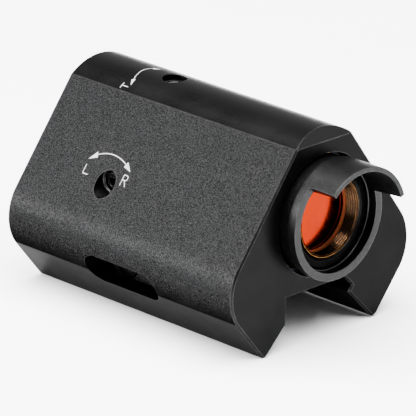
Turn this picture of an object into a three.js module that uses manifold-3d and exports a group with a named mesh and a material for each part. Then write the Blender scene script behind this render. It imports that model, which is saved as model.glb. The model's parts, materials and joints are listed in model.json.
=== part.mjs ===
// Red dot finder: a one-piece aluminium housing on an accessory rail, with a tilting optical tube inside.
// Millimetres. +Z is up, -Y is the end that faces the sky (front), +X is right when seen from the front.
// The origin is the middle of the rail groove's ceiling, the face that rests on the rail.
import * as THREE from "three";
import { mergeVertices } from "three/addons/utils/BufferGeometryUtils.js";
import Module from "manifold-3d";

const wasm = await Module();
wasm.setup();

// ---------------------------------------------------------------- driving dimensions
const gap = 0.3; // clearance between pieces that touch or run on each other

// Housing, seen from the front
const bodyLength = 72.6; // front face to rear face
const bulgeOut = 20.3; // from the tube's side to where the upper and lower flanks would meet
const cornerZ = 4.0; // height of that corner above the groove ceiling
const flankRadius = 11.4; // round between the two flanks
const shoulderX = 9.1; // half width of the rounded ridge
const ridgeRise = 3.1; // height of the ridge's arc
const toeX = 18.4; // a point low on each lower flank, half width
const toeZ = -12.7; // and its height
const toeRadius = 1.3; // rounded foot of each leg
const edgeBreak = 0.45; // small chamfer round both end faces
const ridgeLean = 26; // degrees that the ridge's front end leans back

// Rail groove, for an accessory rail with 45 degree flanks
const railHalfWidth = 10.65; // at the vertex of the fixed undercut
const undercutZ = -2.6; // height of that vertex
const undercutDepth = 1.3; // height from the vertex to the lip below it
const clampSideX = 11.2; // straight wall on the clamp side
const clampWallDepth = 6.3; // height of that wall

// Optical tube and its bore
const tubeRadius = 11.9;
const tubeWall = 2.0;
const tiltRoom = 1.8; // from the tube to the rear bore
const pivotWall = 2.1; // thickness of the pivot ring
const floorWall = 3.65; // metal between the rear bore and the groove ceiling
const overTube = 8.65; // from the tube to the top of the ridge
const frontBoreDepth = 11.0; // from the front face to the step
const pivotDepth = 7.6; // tilt centre behind the front face
const pivotWidth = 4.4; // length of the pivot ring
const tubeFrontOut = 2.3; // tube's front end ahead of the front face
const tubeRearIn = 4.6; // tube's rear end inside the rear face

// Hood
const hoodStep = 0.7; // collar's radius over the neck's
const hoodWall = 1.9; // ring wall
const hoodLipWall = 1.15; // wall of the projecting shade
const hoodRingOut = 4.9; // ring's face ahead of the housing's front face
const hoodCollar = 2.3; // length of the ring's full-diameter collar
const hoodNeckWall = 1.4; // behind the collar
const hoodReach = 7.4; // shade ahead of the ring's face
const hoodStartAngle = 19; // degrees from +X towards +Z
const hoodEndAngle = 134;
const hoodSeat = 3.0; // how far the ring runs into the bore

// Lens stack
const lensThickness = 3.0;
const lensBulge = 0.9; // height of each curved face
const lensSetback = 4.7; // front retainer's face to the lens rim
const retainerLength = 3.2;
const retainerWall = 0.6;
const seatWidth = 1.1; // ledge that the lens rests on
const sealSection = 0.5; // gasket thickness
const sealShow = 0.1; // how far the lens gasket shows inside the retaining ring
const windowThickness = 1.8;
const rearRetainerLength = 2.0;

// Emitter inside the tube
const emitterDepth = 19.0; // from the rear face
const emitterPost = 3.4; // height of its holder from the tube wall
const leadRadius = 0.4;
const leadChannel = 1.2; // width of the tube's lead groove
const leadChannelDepth = 1.1;

// Adjusters
const adjusterDepth = 47.4; // both adjusters behind the front face
const adjusterHole = 2.9;
const adjusterRadius = 2.6;
const adjusterLength = 4.4;
const adjusterSocket = 1.25; // across the flats, halved
const adjusterRecess = 2.4; // screw's face below the flank, at its centre
const padRadius = 1.3;
const padHead = 2.0; // radius of the pad's foot
const padHeadLength = 1.2;

// Clamp
const clampSlotLength = 23.0;
const clampSlotHeight = 7.2;
const clampSlotZ = -1.0;
const clampTravel = 1.9;
const jawLength = 9.2; // grip face to back
const clampPitch = 10.01; // distance between the two cross screws, one rail slot
const clampScrewRadius = 1.75;
const clampHeadRadius = 3.1;
const clampHeadLength = 2.6;
const clampThread = 5.9; // length in the fixed leg
const hexAcross = 1.5; // half the clamp screws' socket, across the flats

// Battery and its cap
const cellRadius = 10.0;
const cellThickness = 3.2;
const cellZ = 4.6; // axis height
const capLand = 1.3; // cap's radius over the cell's
const capThickness = 2.9;
const capSink = 2.9; // cap's face below the widest point of the flank
const capPlug = 0.9; // spigot under the cap
const capRibs = 30;
const coinSlotWidth = 1.9;
const coinSlotDepth = 1.1;
const insulatorThickness = 0.4;
const contactThickness = 0.3;

// Power button, square to the upper right flank
const buttonAlong = 25.4; // from the ridge's edge down the flank
const buttonDepthY = 14.6; // behind the front face
const buttonWell = 4.6; // radius
const buttonWellDepth = 7.6;
const buttonRadius = 2.9;
const buttonProud = 0.7;
const buttonTravel = 0.5;
const boardThickness = 0.8;
const switchHeight = 1.6;
const bezelThickness = 1.5;

// Leaf spring under the tube, opposite both adjusters
const springLength = 26;
const springWidth = 5.0;
const springThickness = 0.5;
const springWellDepth = 1.6;
const tunnelRadius = 1.0;

const rearBezelLength = 3.2;
const rearBezelHole = 10.6;
const snapSection = 0.9;

const fine = 40; // facets round a tube
const medium = 24;
const coarse = 16;

// ---------------------------------------------------------------- derived sizes and places
const tubeBore = tubeRadius - tubeWall;
const rearBoreRadius = tubeRadius + tiltRoom;
const frontBoreRadius = tubeRadius + pivotWall + 2 * gap;
const hoodNeckRadius = tubeRadius + gap + hoodNeckWall;
const hoodRadius = hoodNeckRadius + hoodStep;
const retainerHole = tubeBore - gap - retainerWall;
const capRadius = cellRadius + capLand;
const axisZ = rearBoreRadius + floorWall; // optical axis above the groove ceiling
const ridgeZ = axisZ + tubeRadius + overTube;
const shoulderZ = ridgeZ - ridgeRise;
const cornerX = tubeRadius + bulgeOut;
const frontY = -bodyLength / 2;
const rearY = bodyLength / 2;
const rad = THREE.MathUtils.degToRad;
const adjusterY = frontY + adjusterDepth;
const pivotY = frontY + pivotDepth;
const tubeFrontY = frontY - tubeFrontOut;
const tubeRearY = rearY - tubeRearIn;
const flankSlope = (cornerX - shoulderX) / (shoulderZ - cornerZ);
const flankX = (z) => shoulderX + (shoulderZ - z) * flankSlope; // upper flank's half width at a height
const flankNormal = new THREE.Vector3(shoulderZ - cornerZ, 0, cornerX - shoulderX).normalize();
const flankDown = new THREE.Vector3(cornerX - shoulderX, 0, cornerZ - shoulderZ).normalize();
const bulge = roundCorner([shoulderX, shoulderZ], [cornerX, cornerZ], [toeX, toeZ], flankRadius);
const bulgeX = bulge.cx + flankRadius; // half width at the widest point

// ---------------------------------------------------------------- materials
const metal = (color, roughness) => new THREE.MeshStandardMaterial({ color, roughness, metalness: 0.85 });
const dull = (color, roughness) => new THREE.MeshStandardMaterial({ color, roughness, metalness: 0 });
const anodised = () => metal(0x2b2c2e, 0.55);
const blackScrew = () => metal(0x3a3b3d, 0.38);
const brass = () => metal(0xb58a3c, 0.32);
const spring = () => metal(0xb9bcc0, 0.3);
const rubber = () => dull(0x1a1a1b, 0.85);
const glass = (color) => new THREE.MeshStandardMaterial({ color, roughness: 0.05, metalness: 0.2 });

// ---------------------------------------------------------------- geometry helpers

// Centre, tangent points and angles of an arc of radius r that rounds the corner b between a and c.
function roundCorner(a, b, c, r) {
  const toA = new THREE.Vector2(a[0] - b[0], a[1] - b[1]).normalize();
  const toC = new THREE.Vector2(c[0] - b[0], c[1] - b[1]).normalize();
  const half = Math.acos(toA.dot(toC)) / 2;
  const middle = toA.clone().add(toC).normalize();
  const cx = b[0] + (middle.x * r) / Math.sin(half);
  const cy = b[1] + (middle.y * r) / Math.sin(half);
  const back = r / Math.tan(half);
  const start = Math.atan2(b[1] + toA.y * back - cy, b[0] + toA.x * back - cx);
  const end = Math.atan2(b[1] + toC.y * back - cy, b[0] + toC.x * back - cx);
  const clockwise = toA.x * toC.y - toA.y * toC.x > 0;
  return { cx, cy, r, start, end, clockwise };
}

function toSolid(geometry) {
  const bare = geometry.clone();
  bare.deleteAttribute("normal");
  bare.deleteAttribute("uv");
  const merged = mergeVertices(bare, 1e-4);
  const vertProperties = new Float32Array(merged.attributes.position.array);
  const triVerts = new Uint32Array(merged.index.array);
  return new wasm.Manifold(new wasm.Mesh({ numProp: 3, vertProperties, triVerts }));
}

function toGeometry(solid) {
  const { vertProperties, triVerts, numProp } = solid.getMesh();
  const geometry = new THREE.BufferGeometry();
  geometry.setAttribute("position", new THREE.BufferAttribute(new Float32Array(vertProperties), numProp));
  geometry.setIndex(new THREE.BufferAttribute(new Uint32Array(triVerts), 1));
  geometry.computeVertexNormals();
  return geometry;
}

function piece(name, shape, material) {
  const mesh = new THREE.Mesh(shape.isBufferGeometry ? shape : toGeometry(shape), material);
  mesh.name = name;
  return mesh;
}

// Closed ring or disc about the Y axis, from outline points [radius, y] in order round its section.
function turned(outline, segments = fine) {
  const area = outline.reduce((sum, [r, y], i) => {
    const [r2, y2] = outline[(i + 1) % outline.length];
    return sum + r * y2 - r2 * y;
  }, 0);
  const ordered = area > 0 ? outline : [...outline].reverse();
  const count = ordered.length;
  const onAxis = ordered.findIndex(([r], i) => r === 0 && ordered[(i + count - 1) % count][0] === 0);
  const first = Math.max(onAxis, 0);
  const loop = [...ordered.slice(first), ...ordered.slice(0, first)];
  if (onAxis < 0) loop.push(loop[0]);
  return new THREE.LatheGeometry(loop.map(([r, y]) => new THREE.Vector2(r, y)), segments);
}

const disc = (radius, y0, y1, segments = fine) =>
  turned([[0, y0], [radius, y0], [radius, y1], [0, y1]], segments);
const ring = (inner, outer, y0, y1, segments = fine) =>
  turned([[inner, y0], [outer, y0], [outer, y1], [inner, y1]], segments);

// Outline extruded along +Y from y0 to y1: the outline's x and y become X and Z.
function alongY(shape, y0, y1, options = {}) {
  const settings = { depth: y1 - y0, bevelEnabled: false, curveSegments: 8, ...options };
  const geometry = new THREE.ExtrudeGeometry(shape, settings);
  return geometry.rotateX(Math.PI / 2).translate(0, y1, 0);
}

// Hexagon key socket about the Y axis, from y0 to y1.
const hexagon = (halfAcross, y0, y1) => disc(halfAcross / Math.cos(Math.PI / 6), y0, y1, 6);

function box(x0, x1, y0, y1, z0, z1) {
  const solid = new THREE.BoxGeometry(x1 - x0, y1 - y0, z1 - z0);
  return solid.translate((x0 + x1) / 2, (y0 + y1) / 2, (z0 + z1) / 2);
}

// Moves a geometry or mesh made about the Y axis so that its +Y points along a direction from a point.
function aimed(thing, point, direction) {
  const turn = new THREE.Quaternion().setFromUnitVectors(new THREE.Vector3(0, 1, 0), direction);
  if (thing.isBufferGeometry) return thing.applyQuaternion(turn).translate(point.x, point.y, point.z);
  thing.quaternion.copy(turn);
  thing.position.copy(point);
  return thing;
}

const cut = (solid, ...cutters) => cutters.reduce((rest, cutter) => rest.subtract(toSolid(cutter)), solid);
const left = new THREE.Vector3(-1, 0, 0);
const right = new THREE.Vector3(1, 0, 0);
const up = new THREE.Vector3(0, 0, 1);

// ---------------------------------------------------------------- places of the fitted pieces
const windageFace = new THREE.Vector3(-flankX(axisZ), adjusterY, axisZ);
const elevationFace = new THREE.Vector3(0, adjusterY, ridgeZ);
const buttonFace = new THREE.Vector3(shoulderX, frontY + buttonDepthY, shoulderZ);
buttonFace.addScaledVector(flankDown, buttonAlong);
const capFaceX = bulgeX - capSink;
const capUnderX = capFaceX - capThickness;
const cellOuterX = capUnderX - capPlug - gap;
const cellFloorX = cellOuterX - cellThickness - contactThickness - insulatorThickness - 3 * gap;
const jawBackX = -clampSideX - jawLength;
const clampScrewYs = [-clampPitch / 2, clampPitch / 2];
const emitterY = rearY - emitterDepth;
const wellFloor = buttonFace.clone().addScaledVector(flankNormal, -buttonWellDepth);
const emitterAngle = THREE.MathUtils.radToDeg(Math.atan2(wellFloor.z - axisZ, wellFloor.x));
const leadDirection = new THREE.Vector3(Math.cos(rad(emitterAngle)), 0, Math.sin(rad(emitterAngle)));
// From the optical axis to the middle of the well's floor.
const leadReach = Math.hypot(wellFloor.x, wellFloor.z - axisZ);
const powerX = cellFloorX + tunnelRadius + 0.5;
const powerZ = wellFloor.z + 1.2;
const snapY = pivotY - pivotWidth / 2 - gap - snapSection;
const snapGrooveRadius = frontBoreRadius + snapSection * 0.6;
const clampTipX = railHalfWidth + clampThread;

// ---------------------------------------------------------------- housing
function housingOutline() {
  const lipX = railHalfWidth - undercutDepth;
  const lipZ = undercutZ - undercutDepth;
  const lowerSlope = (cornerX - toeX) / (cornerZ - toeZ);
  // Foot corners: where each 45 degree chamfer meets its lower flank.
  const foot = (x, z) => {
    const footZ = (x - toeX + z + lowerSlope * toeZ) / (1 + lowerSlope);
    return [x + z - footZ, footZ];
  };
  const [footRX, footRZ] = foot(lipX, lipZ);
  const [footLX, footLZ] = foot(clampSideX, -clampWallDepth);
  const chord = 2 * shoulderX;
  const rise = ridgeZ - shoulderZ;
  const ridgeRadius = (chord * chord) / (8 * rise) + rise / 2;
  const ridgeHalf = Math.asin(shoulderX / ridgeRadius);
  const shape = new THREE.Shape();
  shape.moveTo(-clampSideX, 0);
  shape.lineTo(-clampSideX, -clampWallDepth);
  const arcs = [
    roundCorner([-clampSideX, -clampWallDepth], [-footLX, footLZ], [-cornerX, cornerZ], toeRadius),
    roundCorner([-footLX, footLZ], [-cornerX, cornerZ], [-shoulderX, shoulderZ], flankRadius),
  ];
  arcs.forEach((a) => shape.absarc(a.cx, a.cy, a.r, a.start, a.end, a.clockwise));
  const top = Math.PI / 2;
  shape.absarc(0, ridgeZ - ridgeRadius, ridgeRadius, top + ridgeHalf, top - ridgeHalf, true);
  const back = [
    roundCorner([shoulderX, shoulderZ], [cornerX, cornerZ], [footRX, footRZ], flankRadius),
    roundCorner([cornerX, cornerZ], [footRX, footRZ], [lipX, lipZ], toeRadius),
  ];
  back.forEach((a) => shape.absarc(a.cx, a.cy, a.r, a.start, a.end, a.clockwise));
  shape.lineTo(lipX, lipZ);
  shape.lineTo(railHalfWidth, undercutZ);
  shape.lineTo(railHalfWidth + undercutZ, 0);
  shape.closePath();
  return shape;
}

// Stadium outline for the clamp slot: length along the first axis.
function stadium(length, height, radius = height / 2) {
  const half = length / 2 - radius;
  const shape = new THREE.Shape();
  shape.absarc(half, 0, radius, -Math.PI / 2, Math.PI / 2, false);
  shape.absarc(-half, 0, radius, Math.PI / 2, (3 * Math.PI) / 2, false);
  return shape;
}

// A stadium prism along X, its length along Y, centred on y = 0.
function slotPrism(length, height, x0, x1, z) {
  const geometry = new THREE.ExtrudeGeometry(stadium(length, height), {
    depth: x1 - x0,
    bevelEnabled: false,
    curveSegments: 10,
  });
  return geometry.rotateX(Math.PI / 2).rotateZ(Math.PI / 2).translate(x0, 0, z);
}

function boreCutters() {
  const overrun = 1;
  return [
    disc(frontBoreRadius, frontY - overrun, frontY + frontBoreDepth),
    disc(rearBoreRadius, frontY, rearY + overrun),
    ring(frontBoreRadius - gap, snapGrooveRadius, snapY - gap, snapY + snapSection + gap),
    springWell(),
  ].map((g) => g.translate(0, 0, axisZ));
}

// Shallow flat pocket in the bore wall, diagonally opposite the two adjusters.
function springWell() {
  const r = rearBoreRadius;
  const half = springLength / 2 + gap;
  const wide = springWidth / 2 + gap;
  return box(0, r + springWellDepth, -half, half, -wide, wide).rotateY(rad(45)).translate(0, adjusterY, 0);
}

function housing() {
  const shape = housingOutline();
  const size = { bevelThickness: edgeBreak, bevelSize: edgeBreak, bevelOffset: -edgeBreak };
  const bevel = { bevelEnabled: true, bevelSegments: 1, ...size };
  let solid = toSolid(alongY(shape, frontY + edgeBreak, rearY - edgeBreak, bevel));
  const lean = box(-shoulderX * 2, shoulderX * 2, -20, 0, -1, 20)
    .rotateX(-rad(ridgeLean))
    .translate(0, frontY + edgeBreak * 0.2, shoulderZ);
  const leanKeep = box(-50, 50, frontY - 30, rearY, shoulderZ, shoulderZ + 60);
  solid = solid.subtract(toSolid(lean).intersect(toSolid(leanKeep)));
  solid = cut(solid, ...boreCutters());
  solid = cut(
    solid,
    aimed(disc(adjusterHole, 0, 60, medium), new THREE.Vector3(0, adjusterY, axisZ), up),
    aimed(disc(adjusterHole, 0, 60, medium), new THREE.Vector3(0, adjusterY, axisZ), left),
    slotPrism(clampSlotLength, clampSlotHeight, -60, -clampSideX + gap, clampSlotZ),
    aimed(disc(capRadius + 1.3, capFaceX - 0.4, 60), new THREE.Vector3(0, 0, cellZ), right),
    aimed(disc(capRadius + gap, capUnderX - gap, 60), new THREE.Vector3(0, 0, cellZ), right),
    aimed(disc(cellRadius + gap, cellFloorX, 60), new THREE.Vector3(0, 0, cellZ), right),
    aimed(disc(buttonWell, -buttonWellDepth, 5, medium), buttonFace, flankNormal),
    aimed(disc(tunnelRadius, 0, leadReach, 12), new THREE.Vector3(0, wellFloor.y, axisZ), leadDirection),
    powerTunnel(),
  );
  for (const y of clampScrewYs) {
    const start = new THREE.Vector3(-clampSideX, y, clampSlotZ);
    const hole = disc(clampScrewRadius + gap, 0, clampSideX + clampTipX + gap, coarse);
    solid = cut(solid, aimed(hole, start, right));
  }
  return piece("housing", solid, anodised());
}

// A tunnel from the button's well to the battery well, for the supply lead.
function powerTunnel() {
  return disc(tunnelRadius, 0, -wellFloor.y - cellRadius / 2, 12).translate(powerX, wellFloor.y, powerZ);
}

function rearBezel() {
  const r = rearBoreRadius - gap;
  const y = rearY - rearBezelLength;
  const outline = [
    [rearBezelHole, y],
    [r, y],
    [r, rearY - 0.3],
    [r - 0.3, rearY],
    [rearBezelHole + 0.8, rearY],
    [rearBezelHole, rearY - 0.8],
  ];
  return piece("rear_bezel", turned(outline), anodised());
}

function snapRing() {
  const end = snapY + snapSection;
  const whole = toSolid(ring(hoodNeckRadius + gap, frontBoreRadius + snapSection * 0.3, snapY, end));
  const opening = box(-3, 3, snapY - 1, end + 1, -frontBoreRadius - 5, -5);
  return piece("snap_ring", cut(whole, opening), spring());
}

// ---------------------------------------------------------------- optical tube and what it carries
function pivotRing() {
  const inner = tubeRadius + gap;
  const outer = frontBoreRadius - gap;
  const half = pivotWidth / 2;
  const outline = [[inner, -half], [outer - 0.6, -half], [outer - 0.15, -half / 2], [outer, 0]];
  outline.push([outer - 0.15, half / 2], [outer - 0.6, half], [inner, half]);
  return piece("pivot_ring", turned(outline), brass());
}

const lensSeatY = () => tubeFrontY + lensSetback + lensThickness + sealSection + 2 * gap;
const windowSeatY = () => tubeRearY - rearRetainerLength - windowThickness - sealSection - 3 * gap;

function opticalTube() {
  const seat = tubeBore - seatWidth;
  const a = lensSeatY();
  const b = windowSeatY();
  const outline = [
    [tubeRadius, tubeFrontY],
    [tubeRadius, tubeRearY],
    [tubeBore, tubeRearY],
    [tubeBore, b],
    [seat, b],
    [seat, b - seatWidth],
    [tubeBore, b - seatWidth - 1],
    [tubeBore, a + seatWidth + 1],
    [seat, a + seatWidth],
    [seat, a],
    [tubeBore, a],
    [tubeBore, tubeFrontY],
  ];
  const channel = box(
    tubeRadius - leadChannelDepth, tubeRadius + 2,
    wellFloor.y - leadChannel / 2, emitterY + leadChannel / 2,
    -leadChannel / 2, leadChannel / 2,
  ).rotateY(-rad(emitterAngle));
  const port = box(
    tubeBore - 1, tubeRadius + 2,
    emitterY - leadChannel / 2, emitterY + leadChannel / 2,
    -leadChannel / 2, leadChannel / 2,
  ).rotateY(-rad(emitterAngle));
  return piece("optical_tube", cut(toSolid(turned(outline)), channel, port), anodised());
}

function hood() {
  const faceY = frontY - hoodRingOut;
  const inner = tubeRadius + gap;
  const mouth = hoodRadius - hoodWall;
  const backY = frontY + hoodSeat;
  const outline = [
    [mouth, faceY],
    [hoodRadius - 0.25, faceY],
    [hoodRadius, faceY + 0.25],
    [hoodRadius, faceY + hoodCollar],
    [hoodNeckRadius, faceY + hoodCollar + 0.4],
    [hoodNeckRadius, backY],
    [inner, backY],
    [inner, tubeFrontY - gap],
    [mouth, tubeFrontY - gap],
  ];
  const shade = new THREE.Shape();
  shade.absarc(0, 0, hoodRadius, rad(hoodStartAngle), rad(hoodEndAngle), false);
  shade.absarc(0, 0, hoodRadius - hoodLipWall, rad(hoodEndAngle), rad(hoodStartAngle), true);
  const lip = alongY(shade, faceY - hoodReach, faceY + 1, { curveSegments: 28 });
  return piece("hood", toSolid(turned(outline)).add(toSolid(lip)), anodised());
}

// Seal between hood and tube, in the gap behind the hood's end.
function hoodSeal() {
  const y = frontY + hoodSeat + gap;
  return piece("hood_seal", ring(tubeRadius + gap / 2, tubeRadius + gap + 0.7, y, y + 0.8), rubber());
}

function frontRetainer() {
  const r = tubeBore - gap;
  const y = tubeFrontY + 0.2;
  const outline = [
    [retainerHole + 0.3, y],
    [r, y],
    [r, y + retainerLength],
    [retainerHole, y + retainerLength],
    [retainerHole, y + 0.3],
  ];
  return piece("front_retainer", turned(outline), brass());
}

const lensRimY = () => tubeFrontY + lensSetback;

function lensSeal() {
  const y = lensRimY() - gap - sealSection;
  const seal = ring(retainerHole - sealShow, tubeBore - gap, y, y + sealSection);
  return piece("lens_seal", seal, dull(0xc4623a, 0.5));
}

// Meniscus lens: both faces curve the same way, hollow side to the front.
function frontLens() {
  const r = tubeBore - gap;
  const y = lensRimY();
  const steps = 4;
  const curve = (base) =>
    Array.from({ length: steps + 1 }, (_, i) => {
      const share = i / steps;
      return [r * share, base + lensBulge * (1 - share * share)];
    });
  const front = curve(y);
  const back = curve(y + lensThickness).reverse();
  return piece("front_lens", turned([...front, ...back]), glass(0xe4552a));
}

function rearWindow() {
  const y = windowSeatY() + gap;
  return piece("rear_window", disc(tubeBore - gap, y, y + windowThickness), glass(0x9fb4a8));
}

function windowSeal() {
  const y = windowSeatY() + windowThickness + 2 * gap;
  return piece("window_seal", ring(tubeBore - 1.2, tubeBore - gap, y, y + sealSection), rubber());
}

function rearRetainer() {
  const y = windowSeatY() + windowThickness + sealSection + 3 * gap;
  const whole = toSolid(ring(tubeBore - 1.4, tubeBore - gap, y, tubeRearY - 0.1));
  const notch = box(-20, 20, tubeRearY - 0.9, tubeRearY + 1, -0.7, 0.7);
  return piece("rear_retainer", cut(whole, notch), anodised());
}

// The emitter's holder stands on the tube wall; its top carries the emitter board, which faces the lens.
function emitterHolder() {
  const wall = tubeBore - gap;
  const low = wall - emitterPost;
  const block = toSolid(box(low, wall + 1, -1.5, 1.5, -2.2, 2.2)).intersect(toSolid(disc(wall, -3, 3)));
  const leadHole = box(low + 1, wall + 2, -0.7, 0.7, -0.7, 0.7);
  return tubeAngle(piece("emitter_holder", cut(block, leadHole), dull(0x1c1c1d, 0.7)), emitterY);
}

function emitterBoard() {
  const wall = tubeBore - gap;
  const board = box(wall - emitterPost - 0.4, wall - 0.9, -1.5 - gap - 0.6, -1.5 - gap, -1.8, 1.8);
  return tubeAngle(piece("emitter_board", board, dull(0x1f5a3a, 0.6)), emitterY);
}

function emitter() {
  const wall = tubeBore - gap;
  const y = -1.5 - 2 * gap - 0.6;
  const chip = turned([[0, y], [0.7, y], [0.7, y - 0.5], [0.45, y - 0.95], [0, y - 1.1]], coarse);
  const placed = chip.translate(wall - emitterPost + 0.8, 0, 0);
  return tubeAngle(piece("emitter", placed, glass(0xd8322c)), emitterY);
}

function reticleMask() {
  const wall = tubeBore - gap;
  const y = -1.5 - 3 * gap - 1.7;
  const x = wall - emitterPost + 0.8;
  const plate = toSolid(box(x - 1.3, x + 1.3, y - 0.25, y, -1.3, 1.3));
  const pinhole = disc(0.2, y - 1, y + 1, 10).translate(x, 0, 0);
  return tubeAngle(piece("reticle_mask", cut(plate, pinhole), metal(0x6f7276, 0.4)), emitterY);
}

function tubeAngle(mesh, y) {
  mesh.rotation.y = -rad(emitterAngle);
  mesh.position.y = y;
  return mesh;
}

// A lead along straight runs, as one tube with small rounds at its corners.
function lead(name, points, radius, color, steps = 30) {
  const path = new THREE.CurvePath();
  for (let i = 1; i < points.length; i += 1) path.add(new THREE.LineCurve3(points[i - 1], points[i]));
  const smooth = new THREE.CatmullRomCurve3(
    Array.from({ length: 24 }, (_, i) => path.getPointAt(i / 23)), false, "centripetal",
  );
  const section = new THREE.Shape();
  section.absarc(0, 0, radius, 0, 2 * Math.PI, false);
  const geometry = new THREE.ExtrudeGeometry(section, {
    steps, extrudePath: smooth, bevelEnabled: false, curveSegments: 4,
  });
  return piece(name, geometry, dull(color, 0.5));
}

function emitterLead() {
  const r = tubeRadius - leadRadius - 0.15;
  const at = (radius, y) => leadDirection.clone().multiplyScalar(radius).setY(y);
  const outer = leadReach - 2 * gap;
  const route = [at(outer, wellFloor.y), at(r, wellFloor.y), at(r, emitterY)];
  return lead("emitter_lead", route, leadRadius, 0x8f1f1c);
}

// ---------------------------------------------------------------- adjusters
// Made about +Y, which points out of the hole; y = 0 is the flank at the hole's centre.
function adjusterScrew(name) {
  const top = -adjusterRecess;
  const bottom = top - adjusterLength;
  const blank = turned([
    [0, bottom], [adjusterRadius - 0.4, bottom], [adjusterRadius, bottom + 0.4],
    [adjusterRadius, top - 0.3], [adjusterRadius - 0.3, top], [0, top],
  ], medium);
  const socket = hexagon(adjusterSocket, top - 2, top + 1);
  return piece(name, cut(toSolid(blank), socket), blackScrew());
}

// Pad between a screw and the tube: a foot on the tube and a pin that the screw pushes.
function adjusterPad(name, reach) {
  const foot = -reach + tubeRadius + gap;
  const top = -adjusterRecess - adjusterLength - gap;
  const outline = [
    [0, foot], [padHead, foot], [padHead, foot + padHeadLength],
    [padRadius, foot + padHeadLength], [padRadius, top], [0, top],
  ];
  return piece(name, turned(outline, coarse), brass());
}

function adjuster(prefix, face, direction, reach) {
  const group = new THREE.Group();
  group.add(aimed(adjusterScrew(prefix + "_screw"), face, direction));
  group.add(aimed(adjusterPad(prefix + "_pad", reach), face, direction));
  return group;
}

// Bowed strip that pushes the tube towards both adjusters.
function leafSpring() {
  const low = rearBoreRadius + springWellDepth - springThickness - gap;
  const high = tubeRadius + gap;
  const half = springLength / 2;
  const shape = new THREE.Shape();
  const steps = 12;
  const bow = (y) => low - (low - high) * Math.cos((Math.PI * y) / springLength) ** 2;
  const ys = Array.from({ length: steps + 1 }, (_, i) => -half + (i * springLength) / steps);
  ys.forEach((y, i) => (i ? shape.lineTo(bow(y), y) : shape.moveTo(bow(y), y)));
  ys.reverse().forEach((y) => shape.lineTo(bow(y) + springThickness, y));
  const strip = new THREE.ExtrudeGeometry(shape, { depth: springWidth, bevelEnabled: false });
  strip.translate(0, 0, -springWidth / 2).rotateY(rad(45)).translate(0, adjusterY, axisZ);
  return piece("leaf_spring", strip, spring());
}

// ---------------------------------------------------------------- clamp
function clampJaw() {
  const faceX = -clampSideX - 0.1;
  const reachZ = clampSlotZ + clampSlotHeight / 2 - gap;
  const bar = slotPrism(clampSlotLength - 2 * gap, clampSlotHeight - 2 * gap, jawBackX, faceX, clampSlotZ);
  let solid = toSolid(bar);
  // Vee that takes the rail's edge, its vertex level with the fixed undercut.
  const vee = new THREE.Shape();
  vee.moveTo(faceX - undercutDepth, undercutZ);
  vee.lineTo(faceX + 1, undercutZ - undercutDepth - 1);
  vee.lineTo(faceX + 1, undercutZ + undercutDepth + 1);
  solid = cut(solid, alongY(vee, -clampSlotLength, clampSlotLength));
  // Above the groove ceiling the jaw stays back by its travel, clear of the slot's end.
  const backX = faceX - clampTravel - gap;
  solid = cut(solid, box(backX, faceX + 1, -clampSlotLength, clampSlotLength, -gap, reachZ + 1));
  for (const y of clampScrewYs) {
    const head = new THREE.Vector3(jawBackX, y, clampSlotZ);
    solid = cut(
      solid,
      aimed(disc(clampScrewRadius + gap, -1, jawLength + 1, coarse), head, right),
      aimed(disc(clampHeadRadius + gap, -1, clampHeadLength + gap, medium), head, right),
    );
  }
  return piece("clamp_jaw", solid, anodised());
}

// Socket-head cross screw: head in the jaw, shank across the groove's top, thread in the fixed leg.
function clampScrew(name, y) {
  const shank = clampSideX + jawLength + clampTipX - gap - clampTravel;
  const blank = turned([
    [0, -shank], [clampScrewRadius - 0.4, -shank], [clampScrewRadius, -shank + 0.4],
    [clampScrewRadius, -clampHeadLength], [clampHeadRadius, -clampHeadLength],
    [clampHeadRadius, -0.3], [clampHeadRadius - 0.3, 0], [0, 0],
  ], medium);
  const mesh = piece(name, cut(toSolid(blank), hexagon(hexAcross, -1.7, 1)), blackScrew());
  return aimed(mesh, new THREE.Vector3(jawBackX, y, clampSlotZ), left);
}

// ---------------------------------------------------------------- battery
function batteryCap() {
  const ribbed = Array.from({ length: capRibs * 2 }, (_, i) => {
    const angle = (i * Math.PI) / capRibs;
    const r = i % 2 ? capRadius - 0.45 : capRadius;
    return new THREE.Vector2(r * Math.cos(angle), r * Math.sin(angle));
  });
  const rim = alongY(new THREE.Shape(ribbed), -capThickness, -0.4);
  let solid = toSolid(rim).add(toSolid(disc(capRadius - 0.9, -capThickness, 0)));
  solid = solid.add(toSolid(disc(cellRadius - 0.6, -capThickness - capPlug, -capThickness + 0.5)));
  const reach = capRadius * 0.62;
  const coinSlot = box(-reach, reach, -coinSlotDepth, 1, -coinSlotWidth / 2, coinSlotWidth / 2);
  const mesh = piece("battery_cap", cut(solid, coinSlot), anodised());
  return aimed(mesh, new THREE.Vector3(capFaceX, 0, cellZ), right);
}

function batterySeal() {
  const y = capUnderX - gap;
  const seal = ring(cellRadius - 0.6 + gap, cellRadius - 0.05, -0.6, 0);
  return aimed(piece("cap_seal", seal, rubber()), new THREE.Vector3(y, 0, cellZ), right);
}

function coinCell() {
  const t = cellThickness;
  const foot = cellRadius - 1.2;
  const outline = [[0, -t], [foot, -t], [foot, -t + 0.35], [cellRadius - 0.3, -t + 0.35]];
  outline.push([cellRadius, -t + 0.65], [cellRadius, -0.3], [cellRadius - 0.3, 0], [0, 0]);
  const mesh = piece("coin_cell", turned(outline), spring());
  return aimed(mesh, new THREE.Vector3(cellOuterX, 0, cellZ), right);
}

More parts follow.
